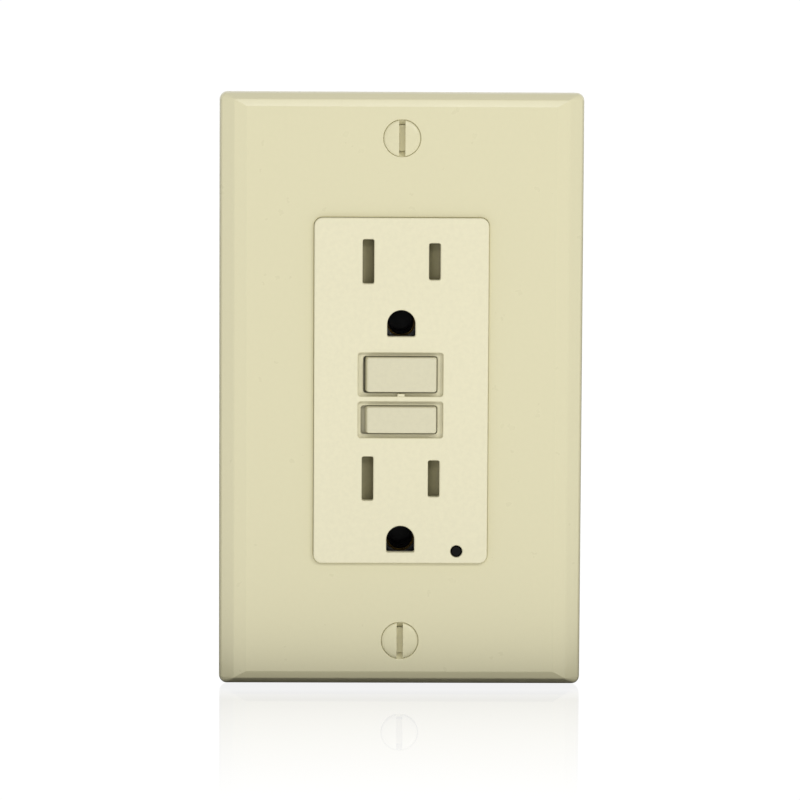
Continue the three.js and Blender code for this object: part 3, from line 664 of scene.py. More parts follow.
# painted light: the shutters' colour is raised, since they are seen only by the little light that reaches down a slot
COLORS["shutter_grey"] = shade(COLORS["shutter_grey"], 1.45)
BUTTON_TONE = 0.87  # the buttons' plastic next to the face's
LAMP_GLARE = 0.12  # the unlit lamp hardly mirrors the white room
LOOKS = {name: kind(name, COLORS[name], *rest) for name, (kind, *rest) in FINISHES.items()}
face_finish = FINISHES["face_ivory"][1:]
LOOKS["button_ivory"] = plastic("button_ivory", shade(COLORS["face_ivory"], BUTTON_TONE), *face_finish)
lamp = LOOKS["lamp_smoke"].node_tree.nodes["Principled BSDF"]
lamp.inputs["Specular IOR Level"].default_value = LAMP_GLARE


# ---- wall plate

PLATE_LOW, PLATE_HIGH = span("wall_plate")
PLATE_FRONT = PLATE_LOW.y
WINDOW = (33.5, 66.6, 1.6)
HEAD_R = 3.5  # a plate screw's head
# the crowned edge: how far in from the sides, how far in from the ends, and how far back
CROWN = [
    (5.4, 2.8, 0.0),
    (5.15, 2.65, 0.02),
    (3.1, 1.5, 0.42),
    (2.9, 1.37, 0.48),
    (2.65, 1.22, 0.6),
    (0.65, 0.42, 1.75),
    (0.42, 0.3, 1.95),
    (0.22, 0.17, 2.3),
    (0.07, 0.05, 2.9),
    (0.0, 0.0, 3.6),
]


def wall_plate():
    """One crowned shell, hollow behind, with a window for the face and two countersunk screw holes."""
    s = Shell()
    size = PLATE_HIGH - PLATE_LOW
    outer = rounded(size.x, size.z, 1.5, steps=10)
    rings = [(outer(-side, -end), PLATE_FRONT + back) for side, end, back in CROWN]
    rim = [(0.0, -0.35), (-0.12, -0.1), (-0.35, 0.0), (-1.5, 0.0), (-1.72, -0.1), (-1.8, -0.3)]
    inside = [(-1.8, -1.6), (-2.4, -2.6), (-3.4, -3.3), (-4.2, -3.5)]
    rings += stack(outer, 0, rim + inside)
    lip = quarter(0.2, PLATE_FRONT) + [(0, -2.65), (0.15, -2.5), (1.4, -2.5), (1.5, -2.6), (1.5, -3.5)]
    chains = [s.through(rings), s.through(stack(rounded(*WINDOW), 0, lip))]
    for node in ("plate_screw_bottom", "plate_screw_top"):
        mouth = HEAD_R + 0.07
        sink = quarter(0.2, PLATE_FRONT, mouth, 3)
        sink += [(mouth - 0.05, PLATE_FRONT + 0.35), (1.9, PLATE_FRONT + 2.1), (1.9, -1.4)]
        sink += [(2.0, -1.3), (2.85, -1.3), (3.0, -1.45), (3.0, -3.5)]
        chains.append(s.through(stack(circle(0.0, 0.0, middle(node).z), 0, sink)))
    s.caps(chains)
    piece("wall_plate_shell", s, "wall_plate")


# ---- front cover and buttons

FACE_FRONT = span("front_cover")[0].y
FACE = (33.42, 66.52, 1.6)  # the raised face's width, height and corner radius, and then the body's
BODY = (42.4, 70.8, 2.0)
BODY_INSIDE = (39.2, 67.6)
BODY_FRONT, INSIDE, SPLIT = -2.2, -1.3, 4.0  # the step behind the face, the cover's floor, its back rim
BLADE_X = INCH / 4
SLOT_WIDTH, HOT_SLOT, NEUTRAL_SLOT = 2.2, 7.05, 8.5
EARTH_RADIUS, EARTH_FLAT = 2.7, 2.4
OUTLETS = [
    {"blades": middle(f"{name}_hot_shutter").z, "earth": middle(f"{name}_ground_contact").z}
    for name in ("upper", "lower")
]
LAMP = middle("indicator_light_pipe")
LAMP_HOLE = 1.15
BRIM, BRIM_DEEP = 1.1, 0.7  # how far a button's flange stands out all round, and its thickness
# the recess round each button: width, height, and how far its hole stands open to the left
MOATS = {"reset_button": (16.3, 8.4, 0.35), "test_button": (16.3, 7.0, 0.8)}
MOAT_DEPTH = 0.95
BODY_SCREWS = [node for node in NODES if node.startswith("body_screw")]


def cap_of(node):
    """A button's middle height, its width and height without the flange, and its front."""
    low, high = span(node)
    return (low.z + high.z) / 2, high.x - low.x - 2 * BRIM, high.z - low.z - 2 * BRIM, low.y


def front_cover():
    """The face, stepped back to the body, with its openings and a moat round each button."""
    s = Shell()
    raised = rounded(*FACE, steps=10)
    skirt = rounded(*BODY, steps=10)
    within = rounded(*BODY_INSIDE, 1.2, steps=10)
    hollow = rounded(30.0, 63.1, 0.6, steps=10)
    skin = FACE_FRONT + 2.0
    rings = stack(raised, 0, quarter_out(0.3, FACE_FRONT, 5))
    rings += stack(raised, BODY_FRONT, [(0, -0.15), (0.15, 0)])
    rings += stack(skirt, 0, quarter_out(0.4, BODY_FRONT, 3))
    rings += stack(skirt, SPLIT, [(0, -0.15), (-0.15, 0)])
    rings += [(within(), SPLIT), (within(), INSIDE), (hollow(), INSIDE), (hollow(), skin)]
    chains = [s.through(rings)]
    soft = quarter(0.3, FACE_FRONT, 0.0, 5)
    holes = [circle(LAMP_HOLE, LAMP.x, LAMP.z, 32)]
    for outlet in OUTLETS:
        holes.append(rounded(SLOT_WIDTH, HOT_SLOT, 0.35, BLADE_X, outlet["blades"], 4))
        holes.append(rounded(SLOT_WIDTH, NEUTRAL_SLOT, 0.35, -BLADE_X, outlet["blades"], 4))
        holes.append(arch(EARTH_RADIUS, EARTH_FLAT, outlet["earth"]))
    chains += [s.through(stack(hole, 0, soft + [(0.0, skin)])) for hole in holes]
    for node, (moat_width, moat_height, gap) in MOATS.items():
        z, width, height, _ = cap_of(node)
        moat = rounded(moat_width, moat_height, 0.5, -0.1, z, 6)
        right, left = width / 2 + 0.06, -width / 2 - gap
        up, down = z + height / 2 + 0.08, z - height / 2 - 0.2
        hole = rounded(right - left, up - down, 0.5, (left + right) / 2, (up + down) / 2, 6)
        floor = FACE_FRONT + MOAT_DEPTH
        rings = stack(moat, 0, quarter(0.22, FACE_FRONT))
        rings += stack(moat, floor, [(0, -0.2), (-0.06, -0.05), (-0.2, 0)])
        rings += [(hole(0.1), floor), (hole(), floor + 0.1), (hole(), skin)]
        chains.append(s.through(rings))
    s.caps(chains)
    obj = solid("front_cover_moulding", s)
    shape(obj, "UNION", *cover_insides(skin))
    # a notch at each end, where the strap's neck passes
    notches = [block((-12.3, 12.3), (INSIDE, 5), sided(side, 33.7, 36)) for side in (-1, 1)]
    shape(obj, "DIFFERENCE", *notches)
    smooth(obj.data)
    show(even(obj), "front_cover")


def cover_insides(skin):
    """The shutter rails, screw posts and lamp tube behind the face, and the small tie in the moat."""
    made = []
    for outlet in OUTLETS:
        for side in (-1, 1):
            zs = sorted((outlet["blades"] + side * 5.4, outlet["blades"] + side * 6.2))
            made.append(Shell().brick((-13.4, 13.4), (skin - 0.2, -2.6), zs, 0.1))
    for node in BODY_SCREWS:
        post = Shell()
        mid = middle(node)
        wall = [(0, -1.5), (2.4, -1.5), (2.4, 3.9), (1.35, 3.9), (1.35, -0.6), (0, -0.6)]
        post.lathe(wall, mid.x, mid.z)
        made.append(post)
    tube = Shell()
    bore, outer = LAMP_HOLE + 0.1, LAMP_HOLE + 0.9
    tube.lathe([(bore, skin - 0.2), (outer, skin - 0.2), (outer, -2.6), (bore, -2.6)], LAMP.x, LAMP.z)
    z = cap_of("reset_button")[0] - MOATS["reset_button"][1] / 2
    tie = Shell().brick((-0.7, 0.7), (FACE_FRONT + 0.15, skin), (z - 0.3, z + 0.55), 0.12)
    return [*made, tube, tie]


def button(node, flange, stem):
    """A button with its flange at a depth, and behind that a square stem or a socket for a pin."""
    s = Shell()
    z, width, height, front = cap_of(node)
    cap = rounded(width, height, 0.5, 0, z, 8)
    top = rounded(width - 0.5, height - 0.16, 0.45, 0.1, z, 8)
    brim = rounded(width + 2 * BRIM, height + 2 * BRIM, 1.0, 0, z, 8)
    # a slightly dished top, a soft edge, sides with some draft, then the flange
    rings = stack(top, front, [(-2.4, 0.12), (-1.5, 0.08), (-0.9, 0.02), (-0.5, 0)])
    rings += stack(top, front, [(-0.28, 0.03), (-0.1, 0.12), (-0.02, 0.26), (0, 0.4)])
    rings += [(cap(-0.03), -5.4), (cap(), flange)]
    rings += stack(brim, flange, [(-0.1, 0), (0, 0.1), (0, 0.6), (-0.1, BRIM_DEEP)])
    if stem:
        post = rounded(2.6, 2.6, 0.3, 0, z, 8)
        rings += stack(post, flange, [(0.2, BRIM_DEEP), (0, 0.9)]) + [(post(), 0.5), (post(-0.15), 0.6)]
    else:
        socket = circle(1.4, 0, z, len(cap()))
        rings += [(socket(), flange + BRIM_DEEP), (socket(), front + 3.3)]
    s.loft(rings)
    piece(f"{node}_cap", s, node).data.materials[0] = LOOKS["button_ivory"]


# ---- screws


def thread(radius, start, end, pitch=0.8, depth=0.26, rows=6):
    """Rows of a screw thread for Shell.lathe. The radius follows the helix and fades at the ends."""
    made = []
    count = int((end - start) / pitch * rows)
    for k in range(count + 1):
        y = start + (end - start) * k / count
        fade = min(1.0, (end - y) / pitch, (y - start) / pitch + 0.1)

        def follow(turn, y=y, fade=fade):
            ridge = abs(2 * ((y / pitch - turn) % 1.0) - 1)
            return radius - depth * (1 - fade * ridge)

        made.append((follow, y))
    return made


def groove(width, depth, length):
    """A cutter for a slot across a head, from above it down to a depth, in the screw's own axes."""
    return Shell(here).brick((-width / 2, width / 2), (-4, depth), (-length / 2, length / 2), 0)


def screw_mesh(name, head, grooves, shank, start, tip, sides=28):
    """A turned head with milled grooves and a threaded shank that points along +Y."""
    s = Shell(here)
    s.lathe(head, steps=56)
    obj = solid(name, s)
    shape(obj, "DIFFERENCE", *[groove(*sizes) for sizes in grooves])
    bake(soften(obj, 0.09))
    shaft = Shell(here)
    point = [(shank * 0.82, tip - 0.25), (shank * 0.6, tip), (0, tip)]
    turns = thread(shank, start + 0.05, tip - 0.5)
    shaft.lathe([(0, start), (shank, start), *turns, *point], steps=sides)
    shape(obj, "UNION", shaft)
    mesh = smooth(obj.data)
    bpy.data.objects.remove(obj)
    return mesh


def pan_head(radius, height):
    """A cheese head with a rounded top edge, standing from -height to 0."""
    edge = [(radius * 0.72, -height), (radius * 0.88, -height * 0.95), (radius * 0.97, -height * 0.8)]
    return [(0, -height), *edge, (radius, -height * 0.6), (radius, -0.12), (radius - 0.12, 0), (0, 0)]


def oval_head(radius, dome, seat, shank):
    """A low domed head over a countersunk cone."""
    top = []
    for i in range(1, 9):
        a = radians(90 * i / 8)
        top.append((radius * sin(a) * 0.985, -dome * cos(a) ** 1.15))
    return [(0, -dome), *top, (radius, 0.12), (shank, seat), (0, seat)]


def put_screw(node, mesh, turn, place):
    """Sets a screw in place of a CAD screw, turned about Z so that its +Y points along the bore."""
    copy = mesh.copy()
    copy.transform(Matrix.Translation(place) @ Matrix.Rotation(radians(turn), 4, "Z"))
    show(thing(f"{node}_turned", copy), node)


PAN_HEADS = {"box": (3.3, 1.85), "wire": (4.0, 2.2), "body": (2.3, 2.0)}  # radius and height
SIX, EIGHT, BODY_SHANK = 1.65, 1.9, 1.2  # shank radii: #6, #8 and the body's self-tapping screws
TERMINALS = [f"{end}_{side}" for side in ("hot", "neutral") for end in ("line", "load")]


def screws():
    plate = screw_mesh("plate", oval_head(HEAD_R, 0.55, 2.0, SIX), [(1.2, 1.15, 9)], SIX, 1.6, 12.1)
    slots = [(1.1, -1.0, 9), (4.4, -1.2, 1.0)]
    box = screw_mesh("box", pan_head(*PAN_HEADS["box"]), slots, SIX, -0.3, 18.8)
    for end in ("top", "bottom"):
        put_screw(f"plate_screw_{end}", plate, 0, at(0, PLATE_FRONT, middle(f"plate_screw_{end}").z))
        node = f"box_screw_{end}"
        put_screw(node, box, 0, at(0, span(node)[0].y + PAN_HEADS["box"][1], middle(node).z))
    head, slots = PAN_HEADS["wire"], [(1.2, -1.25, 9), (4.6, -1.45, 1.0)]
    terminal = screw_mesh("terminal", pan_head(*head), slots, EIGHT, -0.3, 4.4)
    for name in TERMINALS:
        node = f"{name}_screw"
        low, high = span(node)
        side = 1 if low.x > 0 else -1
        seat = side * (max(abs(low.x), abs(high.x)) - head[1])
        put_screw(node, terminal, side * 90, at(seat, *middle(node).yz))
    ground = screw_mesh("ground", pan_head(*head), slots, EIGHT, -0.3, 5.2)
    place = at(span("ground_screw")[0].x + head[1], *middle("ground_screw").yz)
    put_screw("ground_screw", ground, -90, place)
    head, slots = PAN_HEADS["body"], [(0.9, -1.1, 6), (3.4, -1.1, 0.8)]
    body = screw_mesh("body", pan_head(*head), slots, BODY_SHANK, -0.3, 18.8, 20)
    for node in BODY_SCREWS:
        mid = middle(node)
        put_screw(node, body, 180, at(mid.x, span(node)[1].y - head[1], mid.z))


# ---- springs


def coil(name, node, axis, body, fixed, free, turns, wire):
    """A coil between two distances along an axis. Its free end follows a body and the other stays."""
    low, high = span(node)
    across = high.z - low.z if axis == "x" else high.x - low.x
    ends = [v + copysign(wire, w - v) for v, w in ((fixed, free), (free, fixed))]
    to = axis_of(node, axis)
    s = Shell(to)
    s.wire(helix(across / 2 - wire, *ends, turns), wire)
    obj = show(solid(name, s, 60), node, rides=False)
    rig.blend(obj, BODY_OF["front_cover"], body, to(0, fixed, 0), to(0, free, 0))


def springs():
    for node, mover, axis, from_high, turns, wire in (
        ("reset_spring", "reset_button", "y", True, 8, 0.22),
        ("break_spring", "contact_carrier", "y", False, 2.5, 0.2),
        ("plunger_spring", "solenoid_plunger", "z", True, 3, 0.2),
    ):
        fixed, free = sorted((getattr(v, axis) for v in span(node)), reverse=from_high)
        coil(f"{node}_coil", node, axis, BODY_OF[mover], fixed, free, turns, wire)
    for outlet in ("upper", "lower"):
        node = f"{outlet}_shutter_spring"
        low, high = span(node)
        for side, end in (("hot", high.x), ("neutral", low.x)):
            gate = BODY_OF[f"{outlet}_{side}_shutter"]
            coil(f"{node}_{side}_half", node, "x", gate, 0.0, end, 3, 0.17)


# ---- turned pieces


def turned(node, profile, axis="y", cut=()):
    """A turned piece centred on its CAD node. Its profile is (radius, distance along the axis)."""
    s = Shell(axis_of(node, axis))
    s.lathe(profile, steps=40)
    sharp_angle = 34
    obj = solid(f"{node}_turned", s, sharp_angle)
    shape(obj, "DIFFERENCE", *cut)
    smooth(obj.data, sharp_angle)
    show(soften(obj, 0.06), node)


def turned_pieces():
    low, high = span("reset_pin")
    waist, foot = (high.y - 3.6, high.y - 0.6), high.y - 0.25
    pin = [(0, low.y), (1.3, low.y), (1.3, waist[0]), (0.85, waist[0] + 0.15), (0.85, waist[1] - 0.15)]
    turned("reset_pin", [*pin, (1.3, waist[1]), (1.1, foot), (0.7, high.y), (0, high.y)])
    low, high = span("solenoid_plunger")
    neck = -11.4  # where the core ends and the thin push rod begins
    core = [(0, low.z), (2.9, low.z), (2.9, low.z + 0.6), (1.9, low.z + 0.7), (1.9, neck - 0.2)]
    rod = [(1.6, neck), (0.8, neck), (0.8, high.z - 0.3), (0.5, high.z), (0, high.z)]
    turned("solenoid_plunger", core + rod, "z")
    low, high = span("indicator_light_pipe")
    face = [(0, low.y), (0.85, low.y + 0.04), (1.05, low.y + 0.2)]
    turned("indicator_light_pipe", [*face, (1.05, high.y - 0.2), (0.85, high.y), (0, high.y)])
    low, high = span("indicator_led")
    lens, collar = 0.88, 23.1
    turns = [radians(15 * k) for k in range(7)]
    dome = [(lens * sin(a), low.y + lens * (1 - cos(a))) for a in turns]
    turned("indicator_led", [*dome, (0.9, collar), (1.3, collar + 0.1), (1.3, high.y), (0, high.y)])
    for end in ("top", "bottom"):
        node = f"retaining_washer_{end}"
        low, high = span(node)
        turned(node, [(1.85, low.y), (4.2, low.y), (4.2, high.y), (1.85, high.y)])
    for outlet in ("upper", "lower"):
        node = f"{outlet}_ground_contact"
        low, high = span(node)
        bore, z = 2.5, middle(node).z
        sleeve = [(bore, low.y), (4.0, low.y), (4.0, 0.7), (3.25, 0.75), (3.1, 0.95), (3.1, high.y)]
        split = block((-0.4, 0.4), (1.4, 13), (z, z + 5))
        turned(node, [*sleeve, (bore, high.y), (bore, low.y + 0.3)], cut=[split])
    low, high = span("core_housing")
    bore, rim, floor = 2.7, 8.6, high.y - 0.7
    cup = [(bore, low.y), (3.3, low.y), (3.3, floor), (7.9, floor), (7.9, low.y), (rim, low.y)]
    turned("core_housing", [*cup, (rim, high.y - 0.4), (8.2, high.y), (bore, high.y)])


# ---- sheet metal and mouldings


def carved(node, base, add=(), cut=(), edge=0.12):
    """A piece joined from and cut by closed shells, with its sharp edges rounded."""
    obj = solid(f"{node}_made", base)
    shape(obj, "UNION", *add)
    shape(obj, "DIFFERENCE", *cut)
    clean(obj.data)
    smooth(obj.data)
    show(soften(obj, edge), node)


def clean(mesh):
    """Merges what the joins and cuts left: doubled points, slivers and flat faces in many bits."""
    bm = bmesh.new()
    bm.from_mesh(mesh)
    bmesh.ops.remove_doubles(bm, verts=bm.verts, dist=5e-6)
    bmesh.ops.dissolve_degenerate(bm, edges=bm.edges, dist=5e-6)
    bmesh.ops.dissolve_limit(bm, angle_limit=radians(1), verts=bm.verts, edges=bm.edges)
    bm.to_mesh(mesh)
    bm.free()


def sheet(outline, holes, front, back, to=at):
    """A flat plate between two distances, with holes through it."""
    s = Shell(to)
    s.caps([s.through([(points, front), (points, back)]) for points in (outline, *holes)])
    return s


def drum(radius, x, z, start, end):
    """A round cutter or post along Y."""
    s = Shell()
    s.loft([(circle(radius, x, z, 40)(), y) for y in (start, end)])
    return s


# the strap's right-hand edge: x, z and corner radius. An ear with its break-off slit, from the
# neck out to the end, and then the pads round the middle, from the foot up.
STRAP_EAR = [
    (12, 33.4, 0.5),
    (12, 36.5, 0.3),
    (15.5, 36.5, 1.6),
    (15.5, 53, 2.2),
    (11.0, 53, 0.1),
    (11.0, 47.5, 0.3),
    (10.2, 47.5, 0.3),
    (10.2, 53, 0.1),
]
STRAP_WAIST = [
    (5, -33.4, 0.5),
    (5, -23.8, 1.9),
    (3, -23.8, 0.3),
    (3, -8.6, 0.5),
    (7.5, -8.6, 0.8),
    (7.5, 8.4, 0.8),
    (5, 8.4, 0.3),
    (5, 17.8, 1.9),
    (3, 17.8, 0.3),
    (3, 33.4, 0.5),
]


def mounting_strap():
    """The strap, pierced for the ground pins, the buttons and the screws, and its bent ground tab."""
    foot = [(x, -z, radius) for x, z, radius in reversed(STRAP_EAR)]
    right = foot + STRAP_WAIST + STRAP_EAR
    left = [(-x, z, radius) for x, z, radius in reversed(right)]
    low, _ = span("mounting_strap")
    holes = [circle(2.8, 0, outlet["earth"])() for outlet in OUTLETS]
    holes.append(circle(2.7, 0, middle("reset_button").z)())
    holes.append(rounded(4, 4, 0.4, 0, middle("test_button").z)())
    for end in ("top", "bottom"):
        holes.append(rounded(6.6, 4.1, 2.0, 0, middle(f"box_screw_{end}").z)())
        holes.append(circle(1.75, 0, middle(f"plate_screw_{end}").z)())
    base = sheet(filleted(right + left), holes, low.y, 0.0)
    # the ground tab, bent back from the foot of the strap at its left edge
    screw = middle("ground_screw")
    tab = rounded(11.2, 8.6, 1.2, 4.4 - screw.y, 0)
    hole = circle(2.05)
    to = along("x", 0, screw.y, screw.z)
    lug = sheet(tab(), [hole()], -15.5, -14.3, to)
    carved("mounting_strap", base, add=[lug])


TERMINAL_Z = 17.5  # how far the terminals' middles are above and below the centre


def terminal_pocket(side, z, front, step):
    """The walls round one terminal, and what is cut: its pocket, the ways in, and two wire holes."""
    walls = block(sided(side, 14.9, 20.7), (front + 0.05, 19.9), (z - 6.9, z + 6.9))
    below = 2.4 if z > 0 else 5.2  # a load terminal's link passes below its screw
    cut = [block(sided(side, 15.8, 19.5), (3, 19.4), (z - 6, z + 6))]
    cut.append(block(sided(side, 13.9, 15.9), (3, 16.2), (z - below, z + 2.4)))
    cut.append(block(sided(side, 18.2, 22.2), (7.6, 17.8), (z - 5.2, z + 5.2)))
    for hole in (z - 3.1, z + 3.1):
        cut.append(drum(1.25, side * 17.65, hole, 18.6, 22))
        cut.append(block(sided(side, 16.2, 19.1), (step - 0.35, 22), (hole - 0.25, hole + 0.25)))
    return walls, cut


def rear_housing():
    """A wide part and a deeper, narrower one behind a step, with a pocket round each terminal."""
    s = Shell()
    front, step, back = SPLIT + 0.1, 21.0, span("rear_housing")[1].y
    wide, deep = rounded(*BODY), rounded(30.0, 68.4, 2.0)
    inner_wide, inner_deep = rounded(*BODY_INSIDE, 0.6), rounded(26.8, 65.2, 0.6)
    rings = [(inner_deep(), back - 1.6), (inner_deep(), step - 1.4), (inner_wide(), step - 1.4)]
    rings += [(inner_wide(), front), *stack(wide, front, [(-0.12, 0), (0, 0.12)])]
    rings += [(wide(o), 2 * (step - 0.4) - y + 0.4) for o, y in reversed(quarter_out(0.8, step - 0.4, 4))]
    rings += stack(deep, step, [(0.3, 0), (0.1, 0.12), (0, 0.4)])
    rings += stack(deep, back, [(-0.1, -1.0), (-0.4, -0.35), (-1.0, 0)])
    s.loft(rings)
    add, cut = [], []
    for z in (-TERMINAL_Z, TERMINAL_Z):
        for side in (-1, 1):
            walls, openings = terminal_pocket(side, z, front, step)
            add.append(walls)
            cut += openings
    for node in BODY_SCREWS:
        mid = middle(node)
        add.append(drum(3.0, mid.x, mid.z, front + 0.08, step - 0.7))
        cut += [drum(1.4, mid.x, mid.z, 0, 30), drum(2.5, mid.x, mid.z, step - 2.3, 30)]
    for side in (-1, 1):
        add.append(block((-12.1, 12.1), (0.1, front + 1), sided(side, 33.75, 35.3)))
        for k in range(-3, 4):  # finger grooves down each side wall
            cut.append(block(sided(side, 20.85, 22), (6.5, 18.5), (2.6 * k - 0.6, 2.6 * k + 0.6)))
    engraved = (back - 0.3, back + 1)  # a plain panel and a corner mark on the back
    for xs, zs in (((-10, 10), (-14, 26)), ((-9, 9), (-27.2, -26.2)), ((-9, -8), (-26.3, -19))):
        cut.append(block(xs, engraved, zs))
    carved("rear_housing", s, add, cut, 0.15)


def clamps():
    """Pressure plates with wire ridges on their inner face."""
    for name in TERMINALS:
        node = f"{name}_clamp"
        low, high = span(node)
        side = 1 if low.x > 0 else -1
        inner, outer = sorted((abs(low.x), abs(high.x)))
        to = axis_of(node, "x")
        base = sheet(rounded(9.2, 9.2, 0.7)(), [circle(2.1)()], side * inner, side * outer, to)
        depth = sided(side, inner - 0.18, inner + 0.3)
        rows = (-4.0, -3.2, 3.2, 4.0)
        ridges = [Shell(to).brick((-4.0, 4.0), depth, (w - 0.2, w + 0.2), 0) for w in rows]
        carved(node, base, add=ridges, edge=0.1)


def contact_arms():
    """Each moving arm: a leaf with a turned silver button riveted near its tip."""
    for side_name in ("hot", "neutral"):
        node = f"{side_name}_contact_arm"
        low, high = span(node)
        x, _, leaf_z = middle(node)
        top = high.y
        s = sheet(rounded(2.4, high.z - low.z, 0.5, x, leaf_z)(), [], top - 0.5, top)
        s.tint = 1
        button_z = leaf_z - 5.0
        contact = [(0, low.y), (1.0, low.y + 0.05), (1.3, low.y + 0.3), (1.3, top - 0.45), (0, top - 0.45)]
        rivet = [(0, top - 0.1), (0.8, top - 0.1), (0.75, top + 0.05), (0, top + 0.06)]
        s.lathe(contact, x, button_z)
        s.lathe(rivet, x, button_z)
        obj = solid(f"{node}_made", s)
        show(soften(obj, 0.06), node, ["silvered"])


# ---- coils, cores and the board


def core_winding(node, turns, wire, core_look):
    """A toroidal core with its wire wound round it."""
    low, high = span(node)
    mid = (low + high) / 2
    inner, outer = 3.5 + 2 * wire, (high.x - low.x) / 2 - 2 * wire
    half = (high.y - low.y) / 2 - 2 * wire
    reach, centre = (outer - inner) / 2, (outer + inner) / 2
    s = Shell(along("y", mid.x, mid.y, mid.z))
    path = []
    per_turn = 16
    for k in range(turns * per_turn + 1):
        a = 2 * pi * k / per_turn
        round_ = [copysign(abs(f(a)) ** 0.55, f(a)) for f in (cos, sin)]
        r = centre + (reach + wire) * round_[0]
        spin = 2 * pi * k / (turns * per_turn) * 0.985
        path.append(Vector((r * cos(spin), (half + wire) * round_[1], r * sin(spin))))
    s.wire(path, wire, 6)
    s.tint = 1
    soft = 0.3
    section = [(inner, -half + soft), (inner + soft, -half), (outer - soft, -half), (outer, -half + soft)]
    section += [(r, -y) for r, y in reversed(section)]
    s.lathe(section, steps=56)
    piece(f"{node}_wound", s, node, [core_look], 50)


def solenoid():
    low, high = span("solenoid_winding")
    mid = (low + high) / 2
    to = along("z", mid.x, mid.y, 0)
    s = Shell(to)
    outer, wire = 4.2, 0.17
    s.lathe([(2.7, low.z), (outer - 0.25, low.z), (outer - 0.25, high.z), (2.7, high.z)])
    turns = int((high.z - low.z - 2 * wire) / (2.05 * wire))
    s.wire(helix(outer - wire, low.z + wire, high.z - wire, turns, 24, 0.0), wire, 6)
    piece("solenoid_winding_wound", s, "solenoid_winding", sharp_angle=50)
    low, high = span("solenoid_bobbin")
    tube = Shell(to)
    tube.lathe([(2.1, low.z), (2.6, low.z), (2.6, high.z), (2.1, high.z)])
    cheeks = [
        sheet(rounded(8.6, 8.6, 0.6)(), [circle(2.1)()], z, z + 0.9, to) for z in (low.z, high.z - 0.9)
    ]
    carved("solenoid_bobbin", tube, add=cheeks, edge=0.08)


SOLDER = [(0, 0.45), (0.25, 0.4), (0.6, 0.12), (0.8, 0), (0, 0)]  # a joint: radius and height


def circuit_board():
    low, high = span("circuit_board")
    size = high - low
    s = sheet(rounded(size.x, size.z, 1.2)(), [], low.y, high.y)
    s.tint = 1  # solder on the back, where each lead comes through
    joints = [(x, 29 - 4.3 * row) for row in range(14) for x in (-11, -8.5, 8.5, 11)]
    joints += [(x, 27 - 7.6 * row) for row in range(8) for x in (-4.5, 4.5)]
    for x, z in joints:
        s.lathe([(r, high.y + rise) for r, rise in SOLDER], x, z, 12)
    s.tint = 2  # tinned tracks between the joints
    for k, (x, z) in enumerate(joints[:-4]):
        reach = (3.4, 5.6, 2.2)[k % 3]
        s.brick((x - 0.25, x + 0.25), (high.y - 0.02, high.y + 0.06), (z - reach, z), 0)
    obj = solid("circuit_board_made", s)
    show(obj, "circuit_board", ["silvered", "copper"])


def surge_varistor():
    """A coated disc on two straight leads."""
    low, high = span("surge_varistor")
    mid = (low + high) / 2
    s = Shell(along("x", 0, mid.y, mid.z))
    radius, half, soft = (high.z - low.z) / 2, (high.x - low.x) / 2, 0.9
    turns = (1.57, 1.2, 0.8, 0.4, 0)
    rim = [(radius - soft + soft * cos(a), mid.x - half + soft - soft * sin(a)) for a in turns]
    other = [(r, 2 * mid.x - y) for r, y in reversed(rim)]
    s.lathe([(0, low.x), *rim, *other, (0, high.x)])
    s.tint = 1
    for z in (-2.5, 2.5):
        s.wire([Vector((3.0, mid.x, z)), Vector((radius, mid.x, z))], 0.3)
    piece("surge_varistor_coated", s, "surge_varistor", ["silvered"])


def filter_capacitor():
    """A block dipped in resin, so that its edges are thick and rounded."""
    low, high = span("filter_capacitor")
    mid, size = (low + high) / 2, high - low
    s = Shell(along("z", mid.x, mid.y, 0))
    body = rounded(size.x, size.y, 0.9, steps=6)
    dip = [(-1.5, 0.0), (-0.9, 0.1), (-0.45, 0.35), (-0.15, 0.8), (0.0, 1.5), (-0.08, size.z / 2)]
    rings = stack(body, low.z, dip)
    rings += [(body(offset), high.z - rise) for offset, rise in reversed(dip[:-1])]
    s.loft(rings)
    piece("filter_capacitor_dipped", s, "filter_capacitor")


def control_chip():
    """A moulded package with four pins a side and a dot at the first one."""
    low, high = span("control_chip")
    s = Shell().brick((low.x + 0.9, high.x - 0.9), (low.y, high.y - 0.2), (low.z, high.z), 0.2, 2)
    s.tint = 1
    for k in range(4):
        z = low.z + 0.6 + 1.27 * k
        for outside, inside in ((low.x, low.x + 1.1), (high.x, high.x - 1.1)):
            xs = sorted((outside, inside))
            foot = sorted((outside, outside + copysign(0.3, inside - outside)))
            s.brick(xs, (low.y + 0.8, low.y + 1.05), (z, z + 0.45), 0.05, 1)
            s.brick(foot, (low.y + 0.85, high.y), (z, z + 0.45), 0.05, 1)
    s.tint = 2
    dot = [(0, low.y - 0.01), (0.3, low.y - 0.01), (0.3, low.y + 0.1), (0, low.y + 0.1)]
    s.lathe(dot, low.x + 1.7, high.z - 0.9, 20)
    piece("control_chip_made", s, "control_chip", ["silvered", "ferrite"])


def dress(node):
    """Keeps a CAD node's own mesh, with its flat faces merged and its edges softened."""
    obj = NODES[node]
    obj.data.materials.clear()
    obj.data.materials.append(LOOKS[SLOT_OF[node]])
    weld = obj.modifiers.new("weld", "WELD")
    weld.merge_threshold = 2e-6
    flat = obj.modifiers.new("flat", "DECIMATE")
    flat.decimate_type, flat.angle_limit = "DISSOLVE", radians(1.5)
    soften(obj, 0.12, angle=32)
    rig.slot(obj, SLOT_OF[node])


